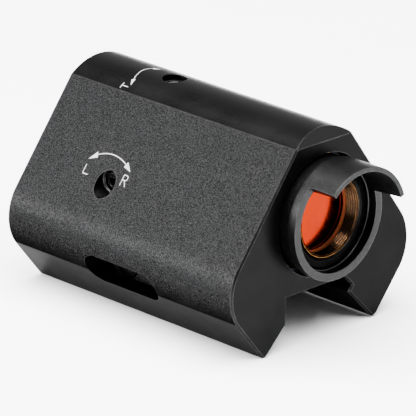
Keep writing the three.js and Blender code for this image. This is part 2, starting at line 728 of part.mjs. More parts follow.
function batteryContact() {
  const y = contactThickness;
  const plate = toSolid(disc(6, 0, y, medium));
  const window = box(-1.9, 4.4, -1, y + 1, -1.5, 1.5);
  const finger = box(-3, 3.6, 0, y, -0.9, 0.9);
  const solid = cut(plate, window).add(toSolid(finger));
  const place = new THREE.Vector3(cellFloorX + insulatorThickness + 2 * gap, 0, cellZ);
  return aimed(piece("battery_contact", solid, brass()), place, right);
}

function contactInsulator() {
  const solid = ring(2.2, cellRadius - 0.8, 0, insulatorThickness, medium);
  const mesh = piece("contact_insulator", solid, dull(0xd9c9a0, 0.6));
  return aimed(mesh, new THREE.Vector3(cellFloorX + gap, 0, cellZ), right);
}

function supplyLead() {
  const aside = new THREE.Vector3(powerX - wellFloor.x, 0, powerZ - wellFloor.z).dot(flankDown);
  const boardEdge = Math.sqrt(Math.max((buttonWell - gap) ** 2 - aside ** 2, 0));
  const y0 = wellFloor.y + boardEdge + gap;
  const y1 = -cellRadius - 0.4;
  const wire = disc(leadRadius, y0, y1, 10).translate(powerX, 0, powerZ);
  return piece("supply_lead", wire, dull(0x8f1f1c, 0.5));
}

// ---------------------------------------------------------------- power button, stacked in its well
// Made about +Y, which points out of the flank; y = 0 is the flank.
function buttonStack() {
  const group = new THREE.Group();
  const inner = buttonWell - gap;
  const boardLow = -buttonWellDepth + gap;
  const board = disc(inner, boardLow, boardLow + boardThickness, medium);
  const switchLow = boardLow + boardThickness + gap;
  const switchTop = switchLow + switchHeight;
  const tact = box(-2.2, 2.2, switchLow, switchTop - 0.4, -2.2, 2.2);
  const actuator = disc(1.2, switchTop - 0.6, switchTop, coarse);
  const flangeLow = switchTop + buttonTravel + gap;
  const bezelLow = -bezelThickness;
  const flangeTop = Math.min(flangeLow + 0.8, bezelLow - gap);
  const cap = turned([
    [0, flangeLow], [inner - 0.3, flangeLow], [inner - 0.3, flangeTop],
    [buttonRadius, flangeTop], [buttonRadius, buttonProud - 0.5],
    [buttonRadius - 0.6, buttonProud - 0.1], [buttonRadius * 0.5, buttonProud], [0, buttonProud],
  ], medium);
  const bezel = ring(buttonRadius + gap, inner, bezelLow, -0.05, medium);
  group.add(piece("driver_board", board, dull(0x1f5a3a, 0.6)));
  group.add(piece("tact_switch", toSolid(tact).add(toSolid(actuator)), dull(0x303133, 0.5)));
  group.add(piece("power_button", cap, rubber()));
  group.add(piece("button_bezel", bezel, anodised()));
  return aimed(group, buttonFace, flankNormal);
}

// ---------------------------------------------------------------- assembly
function tubeAssembly() {
  const group = new THREE.Group();
  group.position.z = axisZ;
  const pivot = pivotRing();
  pivot.position.y = pivotY;
  group.add(pivot, opticalTube(), hood(), hoodSeal(), snapRing(), rearBezel());
  group.add(frontRetainer(), lensSeal(), frontLens(), rearWindow(), windowSeal(), rearRetainer());
  group.add(emitterHolder(), emitterBoard(), emitter(), reticleMask(), emitterLead());
  return group;
}

const redDotFinder = new THREE.Group();
redDotFinder.add(housing(), tubeAssembly(), leafSpring());
redDotFinder.add(adjuster("windage", windageFace, left, flankX(axisZ)));
redDotFinder.add(adjuster("elevation", elevationFace, up, ridgeZ - axisZ));
redDotFinder.add(clampJaw());
redDotFinder.add(clampScrew("clamp_screw_front", clampScrewYs[0]));
redDotFinder.add(clampScrew("clamp_screw_rear", clampScrewYs[1]));
redDotFinder.add(batteryCap(), batterySeal(), coinCell());
redDotFinder.add(batteryContact(), contactInsulator(), supplyLead());
redDotFinder.add(buttonStack());

export default redDotFinder;
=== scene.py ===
# %% [markdown]
# # A red dot finder, from bare frame to finished surfaces
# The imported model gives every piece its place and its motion. This notebook gives each one its real
# surface: fine turned and milled shapes worked out with numpy, and procedural finishes for black anodised
# aluminium, brass, spring steel, rubber and coated glass. Everything is in metres, in the model's own
# frame: +Z is up, the hood is at the -Y end, and the origin is the middle of the rail groove's ceiling.

# %% Load the frame
import json
import math

import bmesh
import bpy
import numpy as np
from mathutils import Matrix, Vector


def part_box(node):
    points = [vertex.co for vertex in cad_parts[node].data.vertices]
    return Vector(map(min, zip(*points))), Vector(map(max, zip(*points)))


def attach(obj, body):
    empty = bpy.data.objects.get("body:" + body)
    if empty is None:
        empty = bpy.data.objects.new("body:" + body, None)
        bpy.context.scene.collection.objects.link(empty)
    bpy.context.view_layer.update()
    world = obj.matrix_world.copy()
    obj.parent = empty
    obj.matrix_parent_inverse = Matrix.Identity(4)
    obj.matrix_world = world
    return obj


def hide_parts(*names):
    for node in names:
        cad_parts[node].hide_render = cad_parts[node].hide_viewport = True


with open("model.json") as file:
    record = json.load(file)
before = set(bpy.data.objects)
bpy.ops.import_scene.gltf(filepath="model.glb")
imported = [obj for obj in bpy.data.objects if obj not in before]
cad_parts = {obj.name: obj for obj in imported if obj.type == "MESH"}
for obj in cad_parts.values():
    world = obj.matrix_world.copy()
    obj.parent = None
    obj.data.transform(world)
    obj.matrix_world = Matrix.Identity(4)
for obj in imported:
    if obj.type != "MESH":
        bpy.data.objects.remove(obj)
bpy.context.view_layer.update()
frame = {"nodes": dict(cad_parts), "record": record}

mm = 0.001

# %% [markdown]
# ## Sizes from the frame
# A node's box gives its length and radius, so the fine pieces land exactly where the plain ones are. Only
# what a box can't tell, such as a wall thickness, is written here as a named value.

# %% Read the main places
def box_middle(node, way):
    """Middle of a node's box along one way: 0 is x, 1 is y and 2 is z."""
    low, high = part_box(node)
    return (low[way] + high[way]) / 2


body_low, body_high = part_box("housing")
tube_low, tube_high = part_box("optical_tube")
hood_low, hood_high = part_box("hood")
front_y, rear_y = body_low.y, body_high.y
axis_z = box_middle("optical_tube", 2)
tube_radius = (tube_high.z - tube_low.z) / 2
hood_radius = hood_high.x
ink_lift = 0.025 * mm  # how far the printed marks stand off the metal
ridge_z = body_high.z - ink_lift
gap = 0.3 * mm
print("axis height %.2f mm, tube radius %.2f mm" % (axis_z / mm, tube_radius / mm))

# %% Name the housing's own sizes
bulge_out = 20.3 * mm  # from the tube's side to where the flanks would meet
corner_x = tube_radius + bulge_out
corner_z = 4.0 * mm
flank_radius = 11.4 * mm
shoulder_x = 9.1 * mm
ridge_rise = 3.1 * mm
ridge_radius = (shoulder_x**2 + ridge_rise**2) / (2 * ridge_rise)
shoulder_z = ridge_z - ridge_rise
toe_x, toe_z = 18.4 * mm, -12.7 * mm
toe_radius = 1.3 * mm
edge_break = 0.45 * mm
rail_half, undercut_z, undercut_depth = 10.65 * mm, -2.6 * mm, 1.3 * mm
clamp_side, clamp_wall = 11.2 * mm, 6.3 * mm

# %% [markdown]
# ## Mesh helpers
# A surface is a grid of points: rows along one parameter and columns along the other. The grid is built as
# whole numpy arrays, and one helper writes it into a mesh, welds its seams and poles, and turns its faces
# outwards.

# %% Grid faces and mesh writing
def grid_quads(rows, cols, wrap_rows=False, wrap_cols=True):
    """Corner numbers of every cell of a grid numbered row by row; a wrapped way is closed."""
    r = np.arange(rows if wrap_rows else rows - 1)
    c = np.arange(cols if wrap_cols else cols - 1)
    r, c = np.meshgrid(r, c, indexing="ij")
    r2, c2 = (r + 1) % rows, (c + 1) % cols
    return np.stack([r * cols + c, r * cols + c2, r2 * cols + c2, r2 * cols + c], -1).reshape(-1, 4)


def write_mesh(name, points, quads, ngons=()):
    """One mesh from points (n, 3) and quads (m, 4), plus a few many-sided faces such as flat ends."""
    mesh = bpy.data.meshes.new(name)
    if len(ngons):
        mesh.from_pydata(points.tolist(), [], quads.tolist() + [list(map(int, n)) for n in ngons])
    else:
        mesh.vertices.add(len(points))
        mesh.vertices.foreach_set("co", points.astype(np.float32).ravel())
        mesh.loops.add(quads.size)
        mesh.loops.foreach_set("vertex_index", quads.astype(np.int32).ravel())
        mesh.polygons.add(len(quads))
        mesh.polygons.foreach_set("loop_start", np.arange(0, quads.size, 4, dtype=np.int32))
        mesh.update(calc_edges=True)
    return mesh


weld_distance = 1e-6


def tidy_mesh(mesh, sharp_degrees=30):
    """Welds, drops empty faces, splits many-sided ones, turns faces out, and shades smooth up to an angle."""
    bm = bmesh.new()
    bm.from_mesh(mesh)
    bmesh.ops.remove_doubles(bm, verts=bm.verts, dist=weld_distance)
    bmesh.ops.dissolve_degenerate(bm, edges=bm.edges, dist=weld_distance)
    bmesh.ops.triangulate(bm, faces=[face for face in bm.faces if len(face.verts) > 4])
    bmesh.ops.holes_fill(bm, edges=[edge for edge in bm.edges if edge.is_boundary], sides=4)
    bmesh.ops.recalc_face_normals(bm, faces=bm.faces)
    if bm.calc_volume(signed=True) < 0:
        bmesh.ops.reverse_faces(bm, faces=bm.faces)
    bm.to_mesh(mesh)
    bm.free()
    mesh.polygons.foreach_set("use_smooth", np.ones(len(mesh.polygons), dtype=bool))
    mesh.set_sharp_from_angle(angle=math.radians(sharp_degrees))
    mesh.update()
    return mesh


def place_object(name, data):
    """A new object in the scene, at the origin."""
    obj = bpy.data.objects.new(name, data)
    bpy.context.collection.objects.link(obj)
    return obj


def add_object(name, points, quads, ngons=(), sharp_degrees=30):
    """A new object from points and faces, tidied."""
    return place_object(name, tidy_mesh(write_mesh(name, points, quads, ngons), sharp_degrees))


def prism(name, rows, way):
    """A solid through flat sections (n, 2), each at its own distance along one way, closed at both ends."""
    points = np.concatenate([np.insert(section, way, at, axis=1) for section, at in rows])
    count, last = len(rows[0][0]), len(points)
    ends = [np.arange(count), np.arange(last - count, last)[::-1]]
    return add_object(name, points, grid_quads(len(rows), count), ends)


# %% Turned parts
def turned_points(profile, segments, centre=(0, 0, 0)):
    """A profile of (radius, height) rows carried round an axis along +Y; height runs from centre."""
    profile = np.asarray(profile, float)
    angle = np.linspace(0, 2 * math.pi, segments, endpoint=False)
    radius, height = profile[:, :1], profile[:, 1:2] + 0 * angle
    return np.stack([radius * np.cos(angle), height, radius * np.sin(angle)], -1).reshape(-1, 3) + centre


def turned(name, profile, segments=192, closed=True, sharp_degrees=30):
    """A lathe shape on the optical axis: closed profiles make rings, open ones start and end on it."""
    points = turned_points(profile, segments, (0, 0, axis_z))
    quads = grid_quads(len(profile), segments, closed)
    return add_object(name, points, quads, sharp_degrees=sharp_degrees)


def arc(cx, cy, radius, start, end, count):
    """Points on a circle from one angle to another, in radians."""
    a = np.linspace(start, end, count)
    return np.stack([cx + radius * np.cos(a), cy + radius * np.sin(a)], -1)


# %% Thread ridges in a profile
def ridges(radius, depth, start, end, pitch):
    """Zigzag between a radius and radius + depth along the height, one tooth for every pitch."""
    teeth = max(1, int(round(abs(end - start) / pitch)))
    count = 2 * teeth + 1
    return np.column_stack([radius + depth * (np.arange(count) % 2), np.linspace(start, end, count)])


# %% [markdown]
# ## Housing
# The real housing is one extrusion, sawn to length, with its bore, holes and slot machined afterwards and
# the whole then bead-blasted and anodised. The same order works here: an outline carried along the length,
# a small chamfer at both ends, and then cutters for the machining.

# %% The extrusion's outline
def round_corner(before, corner, after, radius, count):
    """Arc of a radius that replaces the corner between two straight sides, tangent to both."""
    before, corner, after = (np.asarray(p, float) for p in (before, corner, after))
    u = (before - corner) / np.linalg.norm(before - corner)
    v = (after - corner) / np.linalg.norm(after - corner)
    half = math.acos(float(np.clip(u @ v, -1, 1))) / 2
    middle = (u + v) / np.linalg.norm(u + v)
    centre = corner + middle * radius / math.sin(half)
    start, end = corner + u * radius / math.tan(half) - centre, corner + v * radius / math.tan(half) - centre
    a0, a1 = math.atan2(start[1], start[0]), math.atan2(end[1], end[0])
    turn = (a1 - a0 + math.pi) % (2 * math.pi) - math.pi
    return arc(centre[0], centre[1], radius, a0, a0 + turn, count)


def foot_corner(x, z):
    """Where the 45 degree chamfer that starts at (x, z) meets the lower flank, on the +X side."""
    slope = (corner_x - toe_x) / (corner_z - toe_z)
    foot_z = (x - toe_x + z + slope * toe_z) / (1 + slope)
    return np.array([x + z - foot_z, foot_z])


def housing_outline():
    """The section seen from the front: groove, legs, rounded bulges, straight flanks and an arched ridge."""
    lip = np.array([rail_half - undercut_depth, undercut_z - undercut_depth])
    foot_right = foot_corner(*lip)
    foot_left = foot_corner(clamp_side, -clamp_wall) * (-1, 1)
    shoulder, corner = np.array([shoulder_x, shoulder_z]), np.array([corner_x, corner_z])
    mirror = np.array([-1, 1])
    wall_end = np.array([-clamp_side, -clamp_wall])
    ridge_half = math.asin(shoulder_x / ridge_radius)
    up = math.pi / 2
    return np.concatenate([
        [[-clamp_side, 0], wall_end],
        round_corner(wall_end, foot_left, corner * mirror, toe_radius, 10),
        round_corner(foot_left, corner * mirror, shoulder * mirror, flank_radius, 48),
        arc(0, ridge_z - ridge_radius, ridge_radius, up + ridge_half, up - ridge_half, 48),
        round_corner(shoulder, corner, foot_right, flank_radius, 48),
        round_corner(corner, foot_right, lip, toe_radius, 10),
        [lip, [rail_half, undercut_z], [rail_half + undercut_z, 0]],
    ])


def inset(outline, distance):
    """The closed outline moved inwards by a distance, each point along the mean of its two sides' normals."""
    ahead = np.roll(outline, -1, 0) - outline
    ahead /= np.linalg.norm(ahead, axis=1, keepdims=True)
    normal = np.stack([ahead[:, 1], -ahead[:, 0]], -1)
    before = np.roll(normal, 1, 0)
    miter = (normal + before) / (1 + (normal * before).sum(1, keepdims=True))
    return outline + miter * distance


outline = housing_outline()
print("outline points:", len(outline))

# %% Carry the outline along the length
def extrusion(name, outline, y0, y1, chamfer):
    """A prism along Y with a chamfered edge round both flat ends."""
    small = inset(outline, chamfer)
    rows = [(small, y0), (outline, y0 + chamfer), (outline, y1 - chamfer), (small, y1)]
    return prism(name, rows, 1)


housing = extrusion("housing_shell", outline, front_y, rear_y, edge_break)

# %% Cutters
def disc_profile(radius, start, end):
    """Open profile of a plain round plug."""
    return [[0, start], [radius, start], [radius, end], [0, end]]


def block(name, low, high, turn_x=0.0, at=(0, 0, 0)):
    """A box between two corners, turned about X and then moved."""
    low, high = np.asarray(low, float), np.asarray(high, float)
    corners = np.array([[x, y, z] for x in (0, 1) for y in (0, 1) for z in (0, 1)]) * (high - low) + low
    c, s = math.cos(turn_x), math.sin(turn_x)
    turn = np.array([[1, 0, 0], [0, c, -s], [0, s, c]])
    faces = np.array([[0, 1, 3, 2], [4, 6, 7, 5], [0, 4, 5, 1], [2, 3, 7, 6], [0, 2, 6, 4], [1, 5, 7, 3]])
    return add_object(name, corners @ turn.T + np.asarray(at, float), faces)


def aim_points(points, at, direction):
    """Turns points made about +Y so that +Y lies along a direction, and moves them to a place."""
    turn = np.array(Vector((0, 1, 0)).rotation_difference(Vector(direction)).to_matrix())
    return points @ turn.T + np.asarray(at, float)


def aimed_turned(name, profile, at, direction, segments=96, closed=False, sharp_degrees=30):
    """A turned part whose axis lies along any direction."""
    points = aim_points(turned_points(profile, segments), at, direction)
    quads = grid_quads(len(profile), segments, closed)
    return add_object(name, points, quads, sharp_degrees=sharp_degrees)


def carve(obj, cutters, sharp_degrees=30):
    """Subtracts the cutters, removes them and tidies the result, unless sharp_degrees is None."""
    for number, cutter in enumerate(cutters):
        step = obj.modifiers.new("cut %d" % number, "BOOLEAN")
        step.operation, step.solver, step.object = "DIFFERENCE", "EXACT", cutter
    bpy.context.view_layer.update()
    shape = bpy.data.meshes.new_from_object(obj.evaluated_get(bpy.context.evaluated_depsgraph_get()))
    obj.modifiers.clear()
    shape.materials.clear()
    obj.data = shape
    for cutter in cutters:
        bpy.data.objects.remove(cutter)
    if sharp_degrees is not None:
        tidy_mesh(shape, sharp_degrees)


# %% Machine the housing
adjuster_radius = 2.9 * mm
adjuster_thread = (2.68 * mm, 0.18 * mm)  # the hole's radius at the crests, and depth
adjuster_pitch = 0.4 * mm
top_mouth, side_mouth = 1.6 * mm, 2.3 * mm  # plain hole outside the thread
front_bore, rear_bore = tube_radius + 2.7 * mm, tube_radius + 1.8 * mm
front_bore_end = front_y + 11.0 * mm
station_y = box_middle("windage_screw", 1)
flank_tan = (corner_x - shoulder_x) / (shoulder_z - corner_z)
flank_at_axis = shoulder_x + (shoulder_z - axis_z) * flank_tan
flank_out = Vector((shoulder_z - corner_z, 0, corner_x - shoulder_x)).normalized()
flank_down = Vector((corner_x - shoulder_x, 0, corner_z - shoulder_z)).normalized()
far = 60 * mm


def stadium(length, height, count=24):
    """Outline of a slot with round ends, in (y, z)."""
    half = (length - height) / 2
    return np.concatenate([
        arc(half, 0, height / 2, -math.pi / 2, math.pi / 2, count),
        arc(-half, 0, height / 2, math.pi / 2, 3 * math.pi / 2, count),
    ])


def slot_cutter(length, height, x0, x1, z):
    """A stadium prism along X, centred on y = 0."""
    shape = stadium(length, height) + (0, z)
    return prism("slot", [(shape, x0), (shape, x1)], 0)


def tapped_hole(mouth_start):
    """Plug for an aiming screw's hole: thread ridges from the bore to mouth_start, then a plain mouth."""
    inside = tube_radius / 2
    return np.concatenate([
        [[0, inside], [adjuster_radius, inside], [adjuster_radius, tube_radius + 0.9 * mm]],
        ridges(*adjuster_thread, tube_radius + mm, mouth_start, adjuster_pitch),
        [[adjuster_radius, mouth_start + 0.1 * mm], [adjuster_radius, far], [0, far]],
    ])


clamp_z = box_middle("clamp_jaw", 2)
jaw_low, jaw_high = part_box("clamp_jaw")
slot_length, slot_height = jaw_high.y - jaw_low.y + 2 * gap, jaw_high.z - jaw_low.z + 2 * gap
cap_low, cap_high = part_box("battery_cap")
cap_radius = (cap_high.y - cap_low.y) / 2
cap_z = box_middle("battery_cap", 2)
cap_face = cap_high.x
cap_depth = 2.9 * mm
cap_under = cap_face - cap_depth
button_at = Vector((shoulder_x, front_y + 14.6 * mm, shoulder_z)) + flank_down * 25.4 * mm
button_well, button_well_depth = 4.6 * mm, 7.6 * mm
ridge_lean = math.radians(26)
lean_start = (0, front_y + 0.2 * edge_break, shoulder_z)
spot_radius, spot_face = cap_radius + 1.3 * mm, cap_face - 0.4 * mm
lean_size = 20 * mm
to_left, to_right, to_top = (-1, 0, 0), (1, 0, 0), (0, 0, 1)
axis_at, cap_at = (0, station_y, axis_z), (0, 0, cap_z)
cross_hole_out, cross_hole_radius, cross_hole_reach = 5.005 * mm, 2.05 * mm, 16.85 * mm

lean = block("lean", (-far / 2, -lean_size, -1 * mm), (far / 2, 0, lean_size), -ridge_lean, lean_start)
carve(lean, [block("lean keep", (-far, -far, -far), (far, far, shoulder_z))], sharp_degrees=None)
cutters = [
    lean,
    turned("front bore", disc_profile(front_bore, front_y - 1 * mm, front_bore_end), 160, closed=False),
    turned("rear bore", disc_profile(rear_bore, front_y, rear_y + 1 * mm), 160, closed=False),
    aimed_turned("top hole", tapped_hole(ridge_z - axis_z - top_mouth), axis_at, to_top, 71),
    aimed_turned("side hole", tapped_hole(flank_at_axis - side_mouth), axis_at, to_left, 71),
    slot_cutter(slot_length, slot_height, -far, -clamp_side + gap, clamp_z),
    aimed_turned("spot face", disc_profile(spot_radius, spot_face, far), cap_at, to_right, 120),
    aimed_turned("cap seat", disc_profile(cap_radius + gap, cap_under - gap, far), cap_at, to_right, 120),
    aimed_turned("well", disc_profile(button_well, -button_well_depth, 5 * mm), button_at, flank_out, 72),
]
for y in (-cross_hole_out, cross_hole_out):
    trough = disc_profile(cross_hole_radius, 0, clamp_side + cross_hole_reach)
    cutters.append(aimed_turned("cross hole", trough, (-clamp_side, y, clamp_z), to_right, 32))
carve(housing, cutters, 24)
flat = housing.modifiers.new("flat faces stay flat", "WEIGHTED_NORMAL")
flat.keep_sharp = True
centres = np.empty(3 * len(housing.data.polygons), np.float32)
normals = np.empty_like(centres)
housing.data.polygons.foreach_get("center", centres)
housing.data.polygons.foreach_get("normal", normals)
centres, normals = centres.reshape(-1, 3), normals.reshape(-1, 3)
end_facing, top_facing, down_facing, side_facing = 0.25, 0.3, -0.58, 0.7  # limits for a part of the normal
on_ends = np.abs(normals[:, 1]) > end_facing
on_top = (centres[:, 2] > shoulder_z + 0.05 * mm) & (normals[:, 2] > top_facing)
# Down-facing outer faces get a lighter copy of the blasted finish: painted light on the lower flanks.
under_flank = (normals[:, 2] < down_facing) & (np.abs(normals[:, 0]) > side_facing)
finish_and_painted_light = np.select([on_ends, on_top, under_flank], [1, 2, 3], 0).astype(np.int32)
print("housing faces:", len(finish_and_painted_light), " not blasted:", int((finish_and_painted_light > 0).sum()))

# %% [markdown]
# ## Hood
# The hood is a turned ring that slides over the tube, with a shade milled to leave about a third of its
# rim. Its surface is the ring's section carried round the axis, where the two points on the front rim move
# forward inside the shade's sector; the columns at the sector's ends are doubled, so its side faces are
# square.

# %% Turn the hood
hood_face = front_y - 4.9 * mm
hood_reach = hood_face - hood_low.y
hood_wall, lip_wall = 1.9 * mm, 1.15 * mm
collar, neck_radius = 2.3 * mm, tube_radius + 1.7 * mm
hood_back = hood_high.y
shade_start, shade_end = math.radians(19), math.radians(134)
shade_columns, rim_columns = 76, 150


def hood_points():
    """Rows are the section's points and columns are angles; the shade moves the front rim's two rows."""
    mouth, lip = hood_radius - hood_wall, hood_radius - lip_wall
    inner = tube_radius + gap
    seat = tube_low.y - gap
    section = np.array([
        [inner, hood_back], [neck_radius, hood_back], [neck_radius, hood_face + collar + 0.4 * mm],
        [hood_radius, hood_face + collar], [hood_radius, hood_face], [lip, hood_face],
        [mouth, hood_face + 0.05 * mm], [mouth, seat], [inner, seat],
    ])
    inside = np.linspace(shade_start, shade_end, shade_columns)
    outside = np.linspace(shade_end, shade_start + 2 * math.pi, rim_columns)
    angle = np.concatenate([inside, outside])
    out = np.concatenate([np.ones(len(inside)), np.zeros(len(outside))])
    height = np.repeat(section[:, 1:], len(angle), 1)
    front_rim = slice(4, 6)
    height[front_rim] -= hood_reach * out
    radius = section[:, :1]
    return np.stack([radius * np.cos(angle), height, radius * np.sin(angle) + axis_z], -1)


shape = hood_points()
hood_quads = grid_quads(*shape.shape[:2], True)
hood = add_object("hood_shade", shape.reshape(-1, 3), hood_quads)
soften = hood.modifiers.new("machined edges", "BEVEL")
soften.width, soften.segments, soften.limit_method = 0.14 * mm, 2, "ANGLE"
soften.angle_limit = math.radians(35)
soften.harden_normals = True
print("hood columns:", shape.shape[1])

# %% [markdown]
# ## Tube, retaining rings and lens
# The tube inside the housing carries the optics. Its front end is cut with a fine inside thread that a ring
# screws into, and the crests of that thread are what catches the light beside the lens; the screwed ring's
# own crests carry a painted gold glint. A thread is made here as a row of small ridges in the turned
# profile, which looks the same at this size and stays a simple closed ring.

# %% Tube
bore_radius = tube_radius - 2.0 * mm
tube_front, tube_rear = tube_low.y, tube_high.y
thread_end = tube_front + 3.6 * mm
tube = turned("tube_turned", np.concatenate([
    [[bore_radius, tube_rear - 0.2 * mm], [bore_radius + 0.2 * mm, tube_rear],
     [tube_radius - 0.3 * mm, tube_rear], [tube_radius, tube_rear - 0.3 * mm],
     [tube_radius, tube_front + 0.35 * mm], [tube_radius - 0.35 * mm, tube_front],
     [bore_radius + 0.35 * mm, tube_front]],
    ridges(bore_radius, 0.16 * mm, tube_front + 0.3 * mm, thread_end, 0.35 * mm),
    [[bore_radius, thread_end + 0.2 * mm]],
]))
print("tube from %.1f to %.1f mm" % (tube_front / mm, tube_rear / mm))


# %% Rings screwed into the tube
def retaining_ring(name, node, hole, depth, pitch):
    """Ring that fills a node's box: plain outside, and baffle ridges inside that stop stray light."""
    low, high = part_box(node)
    outer = (high.z - low.z) / 2
    edge = 0.18 * mm
    return turned(name, np.concatenate([
        [[hole + depth, high.y], [outer - edge, high.y], [outer, high.y - edge], [outer, low.y + edge],
         [outer - edge, low.y], [hole + depth + edge, low.y]],
        ridges(hole, depth, low.y + edge, high.y - edge, pitch),
    ]), sharp_degrees=25)


ring_hole = 9.0 * mm
front_ring = retaining_ring("front_ring_turned", "front_retainer", ring_hole, 0.28 * mm, 0.72 * mm)
rear_ring = retaining_ring("rear_ring_turned", "rear_retainer", ring_hole, 0.2 * mm, 0.42 * mm)


# %% Lens and window
def lens_solid(name, node, front_hollow, rear_bulge):
    """Glass disc, hollow in front and domed behind: both heights change with the square of the radius."""
    low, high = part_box(node)
    rim = (high.z - low.z) / 2
    edge = 0.2 * mm
    r = np.linspace(0, rim - edge, 24)
    fall = (r / (rim - edge)) ** 2
    front = np.column_stack([r, low.y + front_hollow * (1 - fall)])
    rear = np.column_stack([r, high.y - rear_bulge * fall])[::-1]
    sides = [[rim, low.y + edge], [rim, high.y - rear_bulge - edge]]
    return turned(name, np.concatenate([front, sides, rear]), 160, closed=False)


lens = lens_solid("front_lens_ground", "front_lens", 0.9 * mm, 0.9 * mm)
window = lens_solid("rear_window_ground", "rear_window", 0.02 * mm, 0.02 * mm)

# %% [markdown]
# ## Rear bezel
# A turned ring closes the back of the bore. It has a shallow funnel to keep side light off the window, a
# step where it seats, and two notches for the pin key that screws it in.

# %% Turn the rear bezel
bezel_low, bezel_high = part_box("rear_bezel")
bezel_radius = (bezel_high.z - bezel_low.z) / 2
bezel_hole = 10.6 * mm
bezel = turned("rear_bezel_turned", np.concatenate([
    [[bezel_hole, bezel_low.y], [bezel_radius - 0.3 * mm, bezel_low.y],
     [bezel_radius, bezel_low.y + 0.3 * mm], [bezel_radius, bezel_high.y - 0.35 * mm],
     [bezel_radius - 0.35 * mm, bezel_high.y],
     [bezel_radius - 0.8 * mm, bezel_high.y], [bezel_radius - 0.9 * mm, bezel_high.y - 0.15 * mm],
     [bezel_radius - 1.1 * mm, bezel_high.y - 0.15 * mm], [bezel_radius - 1.2 * mm, bezel_high.y],
     [bezel_hole + 0.9 * mm, bezel_high.y]],
    ridges(bezel_hole + 0.1 * mm, 0.14 * mm, bezel_high.y - 0.8 * mm, bezel_low.y + 0.4 * mm, 0.45 * mm),
]))
notch_half = 0.9 * mm
notch_in, notch_depth = bezel_radius - 1.7 * mm, 0.9 * mm
carve(bezel, [block("notch", (side * notch_in, bezel_high.y - notch_depth, axis_z - notch_half),
                    (side * (bezel_radius - 0.5 * mm), bezel_high.y + mm, axis_z + notch_half))
              for side in (-1, 1)])
print("bezel faces:", len(bezel.data.polygons))

# %% [markdown]
# ## Aiming screws
# The two aiming screws are headless, with a hexagon socket to take the key. The thread shows in the hole's
# mouth as fine rings, and the socket is cut with a six-sided plug.

# %% Headless screws
def hexagon(across_flats, start, end):
    """Six-sided plug along +Y: a turned profile with only six columns."""
    return disc_profile(across_flats / math.sqrt(3), start, end)


def grub_screw(name, node, outward):
    """Threaded plug that fills a node's box along its axis, with a hexagon socket at its outer end."""
    low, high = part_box(node)
    middle = (low + high) / 2
    direction = Vector(outward)
    half = abs((high - low).dot(direction)) / 2
    radius = (high.y - low.y) / 2
    profile = np.concatenate([
        [[0, -half], [radius - 0.7 * mm, -half]],
        ridges(radius - 0.16 * mm, 0.16 * mm, 0.5 * mm - half, half - 0.3 * mm, 0.35 * mm),
        [[radius - 0.45 * mm, half], [0, half]],
    ])
    screw = aimed_turned(name, profile, middle, direction, 72, sharp_degrees=25)
    socket = aimed_turned("socket", hexagon(2.0 * mm, half - 2.2 * mm, half + mm), middle, direction, 6)
    inner, outer = half - 0.25 * mm, half + 0.2 * mm
    mouth = [[0, inner], [1.05 * mm, inner], [1.5 * mm, outer], [0, outer]]
    cone = aimed_turned("socket mouth", mouth, middle, direction, 48)
    carve(screw, [socket, cone], 25)
    return screw


side_screw = grub_screw("windage_screw_turned", "windage_screw", to_left)
top_screw = grub_screw("elevation_screw_turned", "elevation_screw", to_top)
print("screws:", side_screw.name, top_screw.name)

# %% [markdown]
# ## Clamp
# One jaw slides in the slot through the left leg, pulled by two cross screws. The jaw is a milled bar, so
# its edges get a small bevel, and its lower inner edge has the 45 degree face that hooks under the rail.

# %% Mill the jaw
def jaw_bar(name, bevel=0.35 * mm):
    """Bar with round ends: the slot's own outline carried along X, with the edges broken at both faces."""
    shape = stadium(jaw_high.y - jaw_low.y, jaw_high.z - jaw_low.z)
    unit = shape / np.abs(shape).max(0)
    shape, small = shape + (0, clamp_z), shape - unit * bevel + (0, clamp_z)
    rows = [(small, jaw_low.x), (shape, jaw_low.x + bevel), (shape, jaw_high.x - bevel), (small, jaw_high.x)]
    return prism(name, rows, 0)


jaw = jaw_bar("clamp_jaw_milled")
print("jaw %.1f x %.1f x %.1f mm" % tuple((jaw_high - jaw_low) / mm))
screw_ys = [box_middle(node, 1) for node in ("clamp_screw_front", "clamp_screw_rear")]
head_length, head_radius, shank_radius = 2.6 * mm, 3.1 * mm, 1.75 * mm
vee_x = jaw_high.x - undercut_depth
vee = np.array([[vee_x, undercut_z], [jaw_high.x + mm, undercut_z - undercut_depth - mm],
                [jaw_high.x + mm, undercut_z + undercut_depth + mm]])
pockets = [
    prism("vee", [(vee, -far / 2), (vee, far / 2)], 1),
    block("step", (jaw_high.x - 2.2 * mm, -far / 2, -gap), (jaw_high.x + mm, far / 2, jaw_high.z + mm)),
]
for y in screw_ys:
    start = (jaw_low.x, y, clamp_z)
    shank_hole = [[0, -mm], [head_radius + gap, -mm], [head_radius + gap, head_length + gap],
                  [shank_radius + gap, head_length + gap], [shank_radius + gap, far / 3], [0, far / 3]]
    pockets.append(aimed_turned("screw pocket", shank_hole, start, to_right, 48))
carve(jaw, pockets)

# %% Turn the clamp's screws
def clamp_screw(name, node):
    """Socket-head screw along X: a round head, a plain shank and a threaded end."""
    low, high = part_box(node)
    length = high.x - low.x
    profile = np.concatenate([
        [[0, -length], [shank_radius - 0.4 * mm, -length]],
        ridges(shank_radius - 0.2 * mm, 0.2 * mm, 0.4 * mm - length, 4.4 * mm - length, 0.5 * mm),
        [[shank_radius, 4.8 * mm - length], [shank_radius, -head_length],
         [head_radius - 0.15 * mm, -head_length], [head_radius, 0.15 * mm - head_length],
         [head_radius, -0.35 * mm], [head_radius - 0.35 * mm, 0], [0, 0]],
    ])
    at = (low.x, box_middle(node, 1), clamp_z)
    screw = aimed_turned(name, profile, at, to_left, 72)
    carve(screw, [aimed_turned("socket", hexagon(3.0 * mm, -1.7 * mm, mm), at, to_left, 6)])
    return screw


